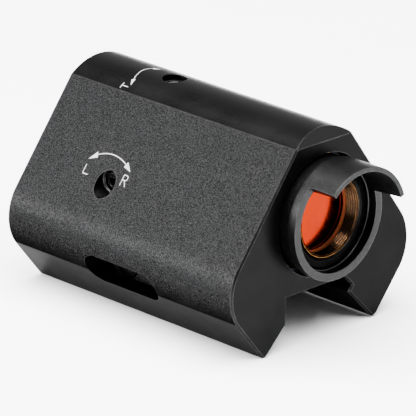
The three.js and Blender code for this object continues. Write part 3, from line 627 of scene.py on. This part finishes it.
screw_front = clamp_screw("clamp_screw_front_turned", "clamp_screw_front")
screw_rear = clamp_screw("clamp_screw_rear_turned", "clamp_screw_rear")
print("jaw faces:", len(jaw.data.polygons), " screw faces:", len(screw_front.data.polygons))

# %% [markdown]
# ## Battery cap
# The cap is a coin-turned lid on the right flank. Its rim is gripped by the fingertips, so it is scalloped:
# the radius dips a little, thirty times round. A profile of rings and a wave round the axis give the whole
# surface.

# %% Cap with a scalloped rim
cap_ribs, rib_depth = 30, 0.42 * mm
cell_radius = 10.0 * mm
cap_plug = 0.9 * mm


def cap_points(segments=720):
    """Points from rows of radius, height and share of rib_depth that a wave round the axis takes off."""
    rim = cap_radius
    rows = np.array([
        [0, -cap_depth - cap_plug, 0], [cell_radius - 0.8 * mm, -cap_depth - cap_plug, 0],
        [cell_radius - 0.6 * mm, -2.7 * mm - cap_plug, 0], [cell_radius - 0.6 * mm, -cap_depth, 0],
        [rim - 0.9 * mm, -cap_depth, 0], [rim - 0.25 * mm, -2.8 * mm, 0.6],
        [rim, -2.5 * mm, 1], [rim, -0.9 * mm, 1],
        [rim - 0.15 * mm, -0.6 * mm, 0.9], [rim - 0.5 * mm, -0.3 * mm, 0.4], [rim - 0.95 * mm, -0.12 * mm, 0],
        [rim - 1.2 * mm, -0.02 * mm, 0], [rim - 1.5 * mm, 0, 0], [rim - 2.1 * mm, 0, 0],
        [rim - 2.25 * mm, -0.14 * mm, 0], [rim - 2.5 * mm, -0.14 * mm, 0], [rim - 2.65 * mm, 0, 0],
        [rim * 0.4, 0, 0], [0, 0, 0],
    ])
    angle = np.linspace(0, 2 * math.pi, segments, endpoint=False)
    wave = (0.5 - 0.5 * np.cos(cap_ribs * angle)) ** 2
    radius = rows[:, :1] - rib_depth * rows[:, 2:] * wave
    height = rows[:, 1:2] + 0 * angle
    return np.stack([radius * np.cos(angle), height, radius * np.sin(angle)], -1)


shape = cap_points()
cap_shape = aim_points(shape.reshape(-1, 3), (cap_face, 0, cap_z), to_right)
cap_quads = grid_quads(*shape.shape[:2])
cap = add_object("battery_cap_turned", cap_shape, cap_quads)
coin_half, coin_reach, coin_depth = 0.95 * mm, cap_radius * 0.62, 1.1 * mm
carve(cap, [block("coin slot", (cap_face - coin_depth, -coin_reach, cap_z - coin_half),
                  (cap_face + mm, coin_reach, cap_z + coin_half))])
cap_edge = cap.modifiers.new("slot edges", "BEVEL")
cap_edge.width, cap_edge.segments, cap_edge.limit_method = 0.1 * mm, 2, "ANGLE"
cap_edge.angle_limit = math.radians(60)
print("cap faces:", len(cap.data.polygons))

# %% [markdown]
# ## Power button
# A moulded rubber button sits in a small turned bezel on the upper right flank. The button is dished, so a
# fingertip finds its middle, with a raised rim and a small ring moulded into the dish.

# %% Button and bezel
button_radius, button_proud = 2.9 * mm, 0.7 * mm
button_depth = 3.0 * mm
button = aimed_turned("power_button_moulded", np.concatenate([
    [[0, -button_depth], [button_radius + mm, -button_depth], [button_radius + mm, -2.2 * mm],
     [button_radius, -2.2 * mm]],
    arc(button_radius - 0.5 * mm, button_proud - 0.5 * mm, 0.5 * mm, 0, math.pi / 2, 8),
    [[button_radius - 0.8 * mm, button_proud - 0.05 * mm], [1.9 * mm, button_proud - 0.3 * mm],
     [1.3 * mm, button_proud - 0.36 * mm], [1.25 * mm, button_proud - 0.22 * mm],
     [1.0 * mm, button_proud - 0.22 * mm], [0.95 * mm, button_proud - 0.37 * mm],
     [0, button_proud - 0.4 * mm]],
]), button_at, flank_out, 96)
bezel_outer, bezel_top = button_well - gap, -0.05 * mm
button_ring = aimed_turned("button_bezel_turned", [
    [button_radius + gap, -1.5 * mm], [bezel_outer, -1.5 * mm], [bezel_outer, -0.3 * mm],
    [bezel_outer - 0.25 * mm, bezel_top], [bezel_outer - 0.55 * mm, bezel_top],
    [bezel_outer - 0.65 * mm, -0.17 * mm], [bezel_outer - 0.8 * mm, bezel_top],
    [button_radius + gap + 0.25 * mm, bezel_top], [button_radius + gap, -0.3 * mm],
], button_at, flank_out, 96, True)
print("button at (%.1f, %.1f, %.1f) mm" % tuple(button_at / mm))

# %% [markdown]
# ## Direction marks
# The marks beside the aiming screws are thin pad-printed strokes: a letter for each direction and a double
# arrow. Each stroke is a ribbon laid a hair above the metal. A stroke is a row of points in a face's own
# two directions, and its ribbon's edges lie half a width to each side.

# %% Ribbons on a face
ink_width = 0.17  # in mm, like every measure of the strokes


def ribbon(path):
    """Both edges of a stroke: its points moved half a width along the normal of the mean direction there."""
    ahead = np.gradient(path, axis=0)
    ahead /= np.linalg.norm(ahead, axis=1, keepdims=True)
    side = np.stack([-ahead[:, 1], ahead[:, 0]], -1)
    return np.stack([path + side * ink_width / 2, path - side * ink_width / 2], 1)


def line(start, end, count=12):
    """Straight stroke in many small steps, so that it follows a curved face."""
    return np.linspace(start, end, count)


def marks(name, strokes, heads, to_face):
    """Ink object: a ribbon for each path and slim arrow heads, in mm, carried onto a face by to_face."""
    points, quads, count = [], [], 0
    for edges in [ribbon(path) for path in strokes] + heads:
        points.append(edges.reshape(-1, 2))
        quads.append(grid_quads(len(edges), 2, False, False) + count)
        count += 2 * len(edges)
    return add_object(name, to_face(np.concatenate(points)), np.concatenate(quads))


def smooth_path(points, count=40):
    """Points along a curve through a few given ones: a polynomial in the distance travelled."""
    points = np.asarray(points, float)
    step = np.concatenate([[0], np.cumsum(np.linalg.norm(np.diff(points, axis=0), axis=1))])
    degree = min(3, len(points) - 1)
    t = np.linspace(0, step[-1], count)
    return np.stack([np.polyval(np.polyfit(step, points[:, k], degree), t) for k in (0, 1)], -1)


def arrow(points, head_length=2.4, head_half=0.62):
    """Shaft and two heads of a double arrow; a head's edges part evenly from its tip to its foot."""
    curve = smooth_path(points)
    heads = []
    for tip, back in ((curve[0], curve[6]), (curve[-1], curve[-7])):
        way = (back - tip) / np.linalg.norm(back - tip)
        side = np.array([-way[1], way[0]])
        along = np.linspace(0.02, 1, 10)[:, None]
        middle = tip + way * head_length * along
        heads.append(np.stack([middle + side * head_half * along, middle - side * head_half * along], 1))
    return curve[5:-5], heads


# %% Marks on the left flank
flank_left_out = Vector((-flank_out.x, 0, flank_out.z))


def on_left_flank(flat_points):
    """Flat points (distance behind the front face, height along z) onto the left flank, lifted a hair."""
    y, z = front_y + flat_points[:, 0] * mm, flat_points[:, 1] * mm
    x = -(shoulder_x + (shoulder_z - z) * flank_tan)
    return np.stack([x, y, z], -1) + np.array(flank_left_out) * ink_lift


letter_l = [line((55.2, 19.8), (55.2, 18.0)), line((55.2, 18.0), (53.6, 18.0))]
bowl = arc(42.3, 19.75, 0.5, math.pi / 2, 3 * math.pi / 2, 16)
letter_r = [line((43.2, 20.25), (43.2, 18.1)), line((43.2, 20.25), bowl[0]), bowl,
            line(bowl[-1], (43.2, 19.25)), line((42.5, 19.25), (41.6, 18.1))]
shaft, heads = arrow([[55.4, 20.9], [53.4, 22.0], [51.1, 22.9], [48.9, 23.1], [46.5, 22.8], [44.0, 22.0],
                      [42.0, 21.1]])
side_marks = marks("side_direction_marks", letter_l + letter_r + [shaft], heads, on_left_flank)

# %% Marks on the ridge
def on_ridge(flat_points):
    """Flat points (x, distance behind the front face) onto the arched ridge, lifted a hair."""
    x, y = flat_points[:, 0] * mm, front_y + flat_points[:, 1] * mm
    z = ridge_z - ridge_radius + np.sqrt((ridge_radius + ink_lift) ** 2 - x**2)
    return np.stack([x, y, z], -1)


letter_t = [line((-8.55, 56.6), (-7.15, 56.6)), line((-7.85, 56.6), (-7.85, 54.75))]
shaft, heads = arrow([[-7.25, 54.4], [-3.4, 56.0], [-0.1, 56.2], [2.2, 54.0]], 1.9, 0.5)
top_marks = marks("top_direction_marks", letter_t + [shaft], heads, on_ridge)
print("marks:", len(side_marks.data.polygons), len(top_marks.data.polygons))

# %% [markdown]
# ## Finishes
# Every finish is made of the same few steps: a fine grain and a broad cloud of noise that shift the colour
# and the roughness, a bump from the grain, and a mask of the edges, where handling and tumbling rub a
# coating thin. The edge mask compares the true normal with one rounded over a small radius: they differ
# only near an edge.

# %% Node helpers
class Tree:
    """A material's nodes, with one short call for each kind."""

    def __init__(self, name):
        self.material = bpy.data.materials.new(name)
        self.material.use_nodes = True
        self.nodes, self.links = self.material.node_tree.nodes, self.material.node_tree.links
        self.shader = self.nodes["Principled BSDF"]
        self.place = self.node("ShaderNodeTexCoord").outputs["Object"]

    def node(self, kind, inputs=(), **settings):
        """A new node with its settings, and with its inputs fed."""
        made = self.nodes.new(kind)
        for key, value in settings.items():
            setattr(made, key, value)
        self.feed(made, inputs)
        return made

    def feed(self, node, inputs):
        """Links another node's output to each named or numbered input, or writes a constant there."""
        for key, value in dict(inputs).items():
            if isinstance(value, bpy.types.NodeSocket):
                self.links.new(value, node.inputs[key])
            else:
                node.inputs[key].default_value = value

    def noise(self, size, detail=3.0, stretch=(1, 1, 1)):
        """Noise whose features are about one size across, in metres; stretch scales the pattern's axes."""
        scale = [1 / (size * s) for s in stretch]
        place = self.node("ShaderNodeMapping", {"Scale": scale, "Vector": self.place}).outputs[0]
        inputs = {"Vector": place, "Scale": 1.0, "Detail": detail, "Roughness": 0.55}
        return self.node("ShaderNodeTexNoise", inputs).outputs["Fac"]

    def span(self, value, low, high, to_low=0.0, to_high=1.0):
        """Carries values from low..high to to_low..to_high, and holds them there."""
        inputs = {"Value": value, "From Min": low, "From Max": high, "To Min": to_low, "To Max": to_high}
        return self.node("ShaderNodeMapRange", inputs).outputs[0]

    def math(self, kind, a, b=0.0):
        return self.node("ShaderNodeMath", {0: a, 1: b}, operation=kind).outputs[0]

    def mix(self, factor, a, b, blend="MIX"):
        """Colour between a and b, each a socket or three numbers; colour sockets are found by type."""
        made = self.node("ShaderNodeMix", {0: factor}, data_type="RGBA", blend_type=blend)
        keys = [key for key, socket in enumerate(made.inputs) if socket.type == "RGBA"]
        for key, value in zip(keys, (a, b)):
            self.feed(made, {key: value if isinstance(value, bpy.types.NodeSocket) else (*value, 1.0)})
        return next(socket for socket in made.outputs if socket.type == "RGBA")

    def edges(self, radius, start=0.995, end=0.86):
        """1 on sharp edges and 0 away from them."""
        rounded = self.node("ShaderNodeBevel", {"Radius": radius}, samples=4).outputs["Normal"]
        true = self.node("ShaderNodeNewGeometry").outputs["True Normal"]
        dot = self.node("ShaderNodeVectorMath", {0: rounded, 1: true}, operation="DOT_PRODUCT")
        return self.span(dot.outputs["Value"], start, end)


def finish(name, colour, speckle, worn, grain=0.25 * mm, wear=0.5, edge=0.22 * mm, rough=(0.38, 0.5),
           bump=0.012 * mm, stretch=(1, 1, 1), speck_at=(0.52, 0.72), metallic=0.0, coat=0.0, glance=0.3):
    """Grainy finish: colour with paler specks, cloudy roughness, a grain bump, and worn edges."""
    t = Tree(name)
    fine, broad = t.noise(grain, 4.0, stretch), t.noise(9 * mm, 3.0)
    toned = t.mix(t.span(broad, 0.3, 0.7), [c * 0.86 for c in colour], [c * 1.12 for c in colour])
    body = t.mix(t.span(fine, *speck_at), toned, speckle)
    patches = t.span(t.noise(1.6 * mm, 4.0), 0.32, 0.66, 0.25 * wear, wear)
    rub = t.math("MULTIPLY", t.edges(edge), patches)
    mixed = t.math("ADD", t.math("MULTIPLY", fine, 0.5), t.math("MULTIPLY", broad, 0.5))
    t.feed(t.shader, {
        "Base Color": t.mix(rub, body, worn), "Roughness": t.span(mixed, 0.35, 0.65, *rough),
        "Metallic": metallic, "Specular IOR Level": 0.5, "Specular Tint": (glance, glance, glance, 1.0),
        "Coat Weight": coat,
        "Normal": t.node("ShaderNodeBump", {"Distance": bump, "Height": fine}).outputs[0],
    })
    return t.material


# %% [markdown]
# ## Metals
# Bead-blasted anodising is matte black with tiny bright pits, and its milled edges show a hair of pale
# metal. The ridge and the turned parts come off the machine smoother than the blasted flanks. Screws are
# black oxide on steel, and contacts and rings are brass and bright spring steel.

# %% Metal finishes
def metal(*colours, **settings):
    """A finish that mirrors light in its own colour."""
    return finish(*colours, metallic=1.0, **settings)


anodised = metal(
    "anodised_blasted", (0.0042, 0.0042, 0.0043), (0.036, 0.036, 0.0362), (0.09, 0.09, 0.092),
    rough=(0.34, 0.44), bump=0.055 * mm, speck_at=(0.44, 0.74), glance=0.1)
milled_black = metal(
    "anodised_milled", (0.0085, 0.0085, 0.0087), (0.0115, 0.0115, 0.0117), (0.16, 0.16, 0.162),
    rough=(0.3, 0.4), bump=0.004 * mm, grain=0.22 * mm, glance=0.3)
ridge_black = metal(
    "anodised_ridge", (0.0065, 0.0065, 0.0067), (0.011, 0.011, 0.0112), (0.16, 0.16, 0.162),
    rough=(0.26, 0.36), bump=0.008 * mm, grain=0.26 * mm, glance=0.9)
turned_black = metal(
    "anodised_turned", (0.010, 0.010, 0.0102), (0.030, 0.030, 0.0302), (0.11, 0.11, 0.112), grain=0.28 * mm,
    rough=(0.3, 0.42), bump=0.03 * mm, speck_at=(0.46, 0.74), glance=0.8)
baffle_black = metal(
    "anodised_baffle", (0.003, 0.003, 0.003), (0.005, 0.005, 0.005), (0.06, 0.055, 0.05), grain=0.3 * mm,
    rough=(0.3, 0.45), wear=0.35)
# Lighter copy of the blasted finish for the down-facing lower flanks: painted light, not a different coating.
underside_painted_light = metal(
    "anodised_underside_painted_light", (0.0075, 0.0075, 0.0077), (0.014, 0.014, 0.0142), (0.12, 0.12, 0.122),
    rough=(0.34, 0.44), bump=0.02 * mm, grain=0.26 * mm, glance=0.5)
# Worn thread crests, whose gold colour is a painted glint of the lens's orange light on them.
thread_wear_and_painted_glint = metal(
    "worn_thread_and_painted_glint", (0.006, 0.0035, 0.0025), (0.03, 0.014, 0.006), (0.42, 0.2, 0.07), grain=0.24 * mm,
    rough=(0.12, 0.28), wear=0.8, edge=0.06 * mm, speck_at=(0.56, 0.76))
screw_black = metal(
    "black_oxide", (0.0028, 0.0028, 0.003), (0.008, 0.008, 0.0078), (0.24, 0.235, 0.23), grain=0.16 * mm,
    rough=(0.26, 0.4), wear=0.55, edge=0.06 * mm, glance=0.15)
brass = metal(
    "turned_brass", (0.55, 0.38, 0.14), (0.66, 0.47, 0.2), (0.75, 0.58, 0.3), grain=0.12 * mm,
    rough=(0.22, 0.36), stretch=(1, 6, 1))
spring_steel = metal(
    "blued_spring_steel", (0.02, 0.02, 0.024), (0.04, 0.04, 0.045), (0.3, 0.3, 0.31), grain=0.12 * mm,
    rough=(0.2, 0.34), stretch=(5, 1, 1))
cell_steel = metal(
    "nickel_plate", (0.58, 0.58, 0.57), (0.66, 0.66, 0.65), (0.75, 0.75, 0.74), grain=0.18 * mm,
    rough=(0.18, 0.32))
print("metals:", anodised.name, turned_black.name, screw_black.name, brass.name)

# %% [markdown]
# ## Plastics, rubber and small parts
# These sit inside or show only a little: the moulded button, the seals, the board and its leads.

# %% Moulded and printed finishes
rubber = finish(
    "moulded_rubber", (0.016, 0.016, 0.016), (0.03, 0.03, 0.03), (0.05, 0.05, 0.05), grain=0.35 * mm,
    rough=(0.6, 0.78), bump=0.02 * mm, wear=0.4)
amber_seal = finish(
    "amber_silicone", (0.16, 0.035, 0.012), (0.22, 0.06, 0.022), (0.3, 0.1, 0.04), grain=0.4 * mm,
    rough=(0.35, 0.5), coat=0.2)
board = finish(
    "board_laminate", (0.02, 0.13, 0.06), (0.03, 0.2, 0.1), (0.5, 0.44, 0.25), grain=0.5 * mm,
    rough=(0.3, 0.45), speck_at=(0.5, 0.54), coat=0.3)
plastic = finish(
    "black_moulding", (0.02, 0.02, 0.021), (0.035, 0.035, 0.036), (0.08, 0.08, 0.08), grain=0.3 * mm,
    rough=(0.4, 0.55))
foil = finish(
    "mask_foil", (0.05, 0.05, 0.052), (0.2, 0.2, 0.2), (0.4, 0.4, 0.4), grain=0.1 * mm, metallic=0.8)
insulator = finish(
    "insulating_film", (0.52, 0.36, 0.1), (0.6, 0.44, 0.16), (0.7, 0.6, 0.3), grain=0.6 * mm,
    rough=(0.3, 0.42))
lead_sleeve = finish(
    "lead_sleeve", (0.45, 0.03, 0.03), (0.55, 0.06, 0.05), (0.6, 0.2, 0.2), grain=0.4 * mm,
    rough=(0.35, 0.5))
ink = finish(
    "pad_print_ink", (0.30, 0.30, 0.295), (0.20, 0.20, 0.197), (0.26, 0.26, 0.26), grain=0.22 * mm,
    rough=(0.5, 0.65), bump=0.003 * mm, speck_at=(0.56, 0.8))

# %% [markdown]
# ## Coated glass
# The front lens has a mirror coating that throws back red and orange light and lets the rest through, which
# is how it returns the dot to the eye. That is a coloured mirror with a soft haze over it. The tint deepens
# towards the rim, where the coating is met more steeply and the glass is thicker. A near-black band at the
# very rim is painted shade, standing in for the dark edge beside the retaining ring.

# %% Glass finishes
def coated_lens(name, inner, outer, haze):
    """Coloured mirror whose tint goes from inner to outer with the distance from the optical axis, and a band
    of painted shade at the rim.
    """
    t = Tree(name)
    apart = t.node("ShaderNodeSeparateXYZ", {0: t.place}).outputs
    height = t.math("SUBTRACT", apart["Z"], axis_z)
    radius = t.math("SQRT", t.math("ADD", t.math("POWER", apart["X"], 2.0), t.math("POWER", height, 2.0)))
    tint = t.mix(t.span(radius, 2 * mm, 8 * mm), inner, outer)
    # Painted shade: the tint turns near-black over the last fraction of a millimetre of the rim.
    rim_painted_shade = t.span(radius, 8.75 * mm, 8.95 * mm)
    tint = t.mix(rim_painted_shade, tint, (0.012, 0.006, 0.005))
    cloud = t.mix(t.span(t.noise(5 * mm), 0.35, 0.65), (0.92, 0.92, 0.92), (1, 1, 1))
    t.feed(t.shader, {
        "Base Color": t.mix(1.0, tint, cloud, "MULTIPLY"), "Metallic": 1.0,
        "Roughness": t.span(t.noise(1.2 * mm), 0.3, 0.7, *haze), "Specular Tint": (1.0, 0.5, 0.4, 1.0),
    })
    return t.material


def clear_glass(name, tint):
    """Thin glass with a faint coating colour and a little dust in the roughness."""
    t = Tree(name)
    dusty = t.noise(0.8 * mm, 5.0)
    t.feed(t.shader, {
        "Base Color": t.mix(t.span(dusty, 0.4, 0.7), tint, [c * 0.94 for c in tint]),
        "Roughness": t.span(dusty, 0.4, 0.75, 0.02, 0.1), "Transmission Weight": 1.0, "IOR": 1.5,
    })
    return t.material


lens_coating = coated_lens(
    "orange_mirror_coating", (0.158, 0.0090, 0.0019), (0.148, 0.008, 0.0016), haze=(0.1, 0.14))
window_glass = clear_glass("coated_window_glass", (0.9, 0.95, 1.0))
emitter_glass = clear_glass("emitter_lens_resin", (1.0, 0.6, 0.55))
print("glass:", lens_coating.name, window_glass.name)

# %% Put the finishes on
finishes = {
    "anodised": anodised, "black_screw": screw_black, "brass": brass, "spring_steel": spring_steel,
    "cell_steel": cell_steel, "coated_lens": lens_coating, "clear_glass": window_glass,
    "emitter_lens": emitter_glass,
    "black_rubber": rubber, "amber_seal": amber_seal, "circuit_board": board, "black_plastic": plastic,
    "mask_foil": foil, "insulator": insulator, "lead_sleeve": lead_sleeve,
}
slot_of = {row["node"]: row["material_slot"] for row in frame["record"]["subparts"]}
for node, obj in frame["nodes"].items():
    for place in obj.material_slots:
        place.material = finishes[slot_of[node]]
print("CAD nodes with finishes:", len(frame["nodes"]))

# %% [markdown]
# ## Tie the pieces to the frame
# Each new piece rides on the body it belongs to, stands for its plain node if it has one, and takes the
# finish listed beside it.

# %% Rides, replacements and slots
fittings = [
    (housing, "housing", ["housing"], anodised),
    (hood, "hood", ["hood"], turned_black),
    (tube, "optical_tube", ["optical_tube"], baffle_black),
    (front_ring, "optical_tube", ["front_retainer"], thread_wear_and_painted_glint),
    (rear_ring, "optical_tube", ["rear_retainer"], baffle_black),
    (lens, "optical_tube", ["front_lens"], lens_coating),
    (window, "optical_tube", ["rear_window"], window_glass),
    (bezel, "housing", ["rear_bezel"], turned_black),
    (side_screw, "windage_screw", ["windage_screw"], screw_black),
    (top_screw, "elevation_screw", ["elevation_screw"], screw_black),
    (jaw, "clamp_jaw", ["clamp_jaw"], anodised),
    (screw_front, "clamp_screw_front", ["clamp_screw_front"], screw_black),
    (screw_rear, "clamp_screw_rear", ["clamp_screw_rear"], screw_black),
    (cap, "battery_cap", ["battery_cap"], turned_black),
    (button, "power_button", ["power_button"], rubber),
    (button_ring, "housing", ["button_bezel"], turned_black),
    (side_marks, "housing", [], ink),
    (top_marks, "housing", [], ink),
]
for piece, body, nodes, material in fittings:
    piece.data.materials.clear()
    piece.data.materials.append(material)
    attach(piece, body)
    if nodes:
        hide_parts(*nodes)
for material in (milled_black, ridge_black, underside_painted_light):
    housing.data.materials.append(material)
housing.data.polygons.foreach_set("material_index", finish_and_painted_light)
print("fitted pieces:", len(fittings))

# %% [markdown]
# ## Floor, light and camera
# A pale floor, a pale sky for soft fill, and four softboxes: a large one overhead, one behind at the left
# that the flank mirrors, a low strip beside it that draws the highlight along the bulge, and a weak one at
# the right. A long lens from far away keeps parallel edges parallel.

# %% Floor and sky
floor_z = body_low.z - 0.02 * mm
floor_half = 3.0
floor_points = np.array([[x * floor_half, y * floor_half, floor_z] for x, y in
                         ((-1, -1), (1, -1), (1, 1), (-1, 1))])
floor = place_object("floor", write_mesh("floor", floor_points, np.array([[0, 1, 2, 3]])))
paper = Tree("pale_paper")
paper_tone = paper.mix(paper.noise(40 * mm), (0.93, 0.93, 0.93), (0.96, 0.96, 0.96))
paper.feed(paper.shader, {"Base Color": paper_tone, "Roughness": 0.9})
floor.data.materials.append(paper.material)

world = bpy.data.worlds.new("pale_sky")
world.use_nodes = True
sky = world.node_tree.nodes["Background"]
sky.inputs["Color"].default_value = (1, 1, 1, 1)
sky.inputs["Strength"].default_value = 0.6
bpy.context.scene.world = world


# %% Softboxes
def softbox(name, direction, distance, size, power):
    """Rectangular lamp in a direction (x, y, z) from the housing's middle, facing it."""
    lamp = bpy.data.lights.new(name, "AREA")
    lamp.shape, lamp.size, lamp.size_y, lamp.energy = "RECTANGLE", size[0], size[1], power
    obj = place_object(name, lamp)
    away = Vector(direction).normalized()
    obj.location = Vector((0, 0, axis_z)) + away * distance
    obj.rotation_euler = away.to_track_quat("Z", "Y").to_euler()


softbox("top_softbox", (-0.15, -0.1, 1.0), 1.3, (1.6, 1.6), 205.0)
softbox("side_softbox", (-0.545, 0.653, 0.52), 0.9, (0.44, 0.36), 7.0)
softbox("strip_softbox", (-0.735, 0.653, 0.21), 0.8, (0.5, 0.05), 10.0)
softbox("right_softbox", (0.67, -0.68, 0.34), 1.0, (0.5, 0.3), 4.0)

# %% Camera
azimuth, elevation, roll = (math.radians(degrees) for degrees in (-45.805, 20.569, 0.952))
camera_distance = 1023.7 * mm
aim_right, aim_up = 0.768 * mm, 2.509 * mm
target = Vector((0, -1.3 * mm, 12 * mm))
back = Vector((math.sin(azimuth) * math.cos(elevation), -math.cos(azimuth) * math.cos(elevation),
               math.sin(elevation)))
right = Vector((math.cos(azimuth), math.sin(azimuth), 0))
up = back.cross(right)
right, up = math.cos(roll) * right + math.sin(roll) * up, math.cos(roll) * up - math.sin(roll) * right
camera_data = bpy.data.cameras.new("camera")
camera_data.lens, camera_data.sensor_width = 385.1, 36.0
camera_data.clip_start, camera_data.clip_end = 0.05, 20
camera = place_object("camera", camera_data)
turn = np.column_stack([right, up, back])
place = target + back * camera_distance - right * aim_right - up * aim_up
camera.matrix_world = Matrix.Translation(place) @ Matrix(turn.tolist()).to_4x4()
bpy.context.scene.camera = camera
print("camera at", [round(v, 3) for v in place])
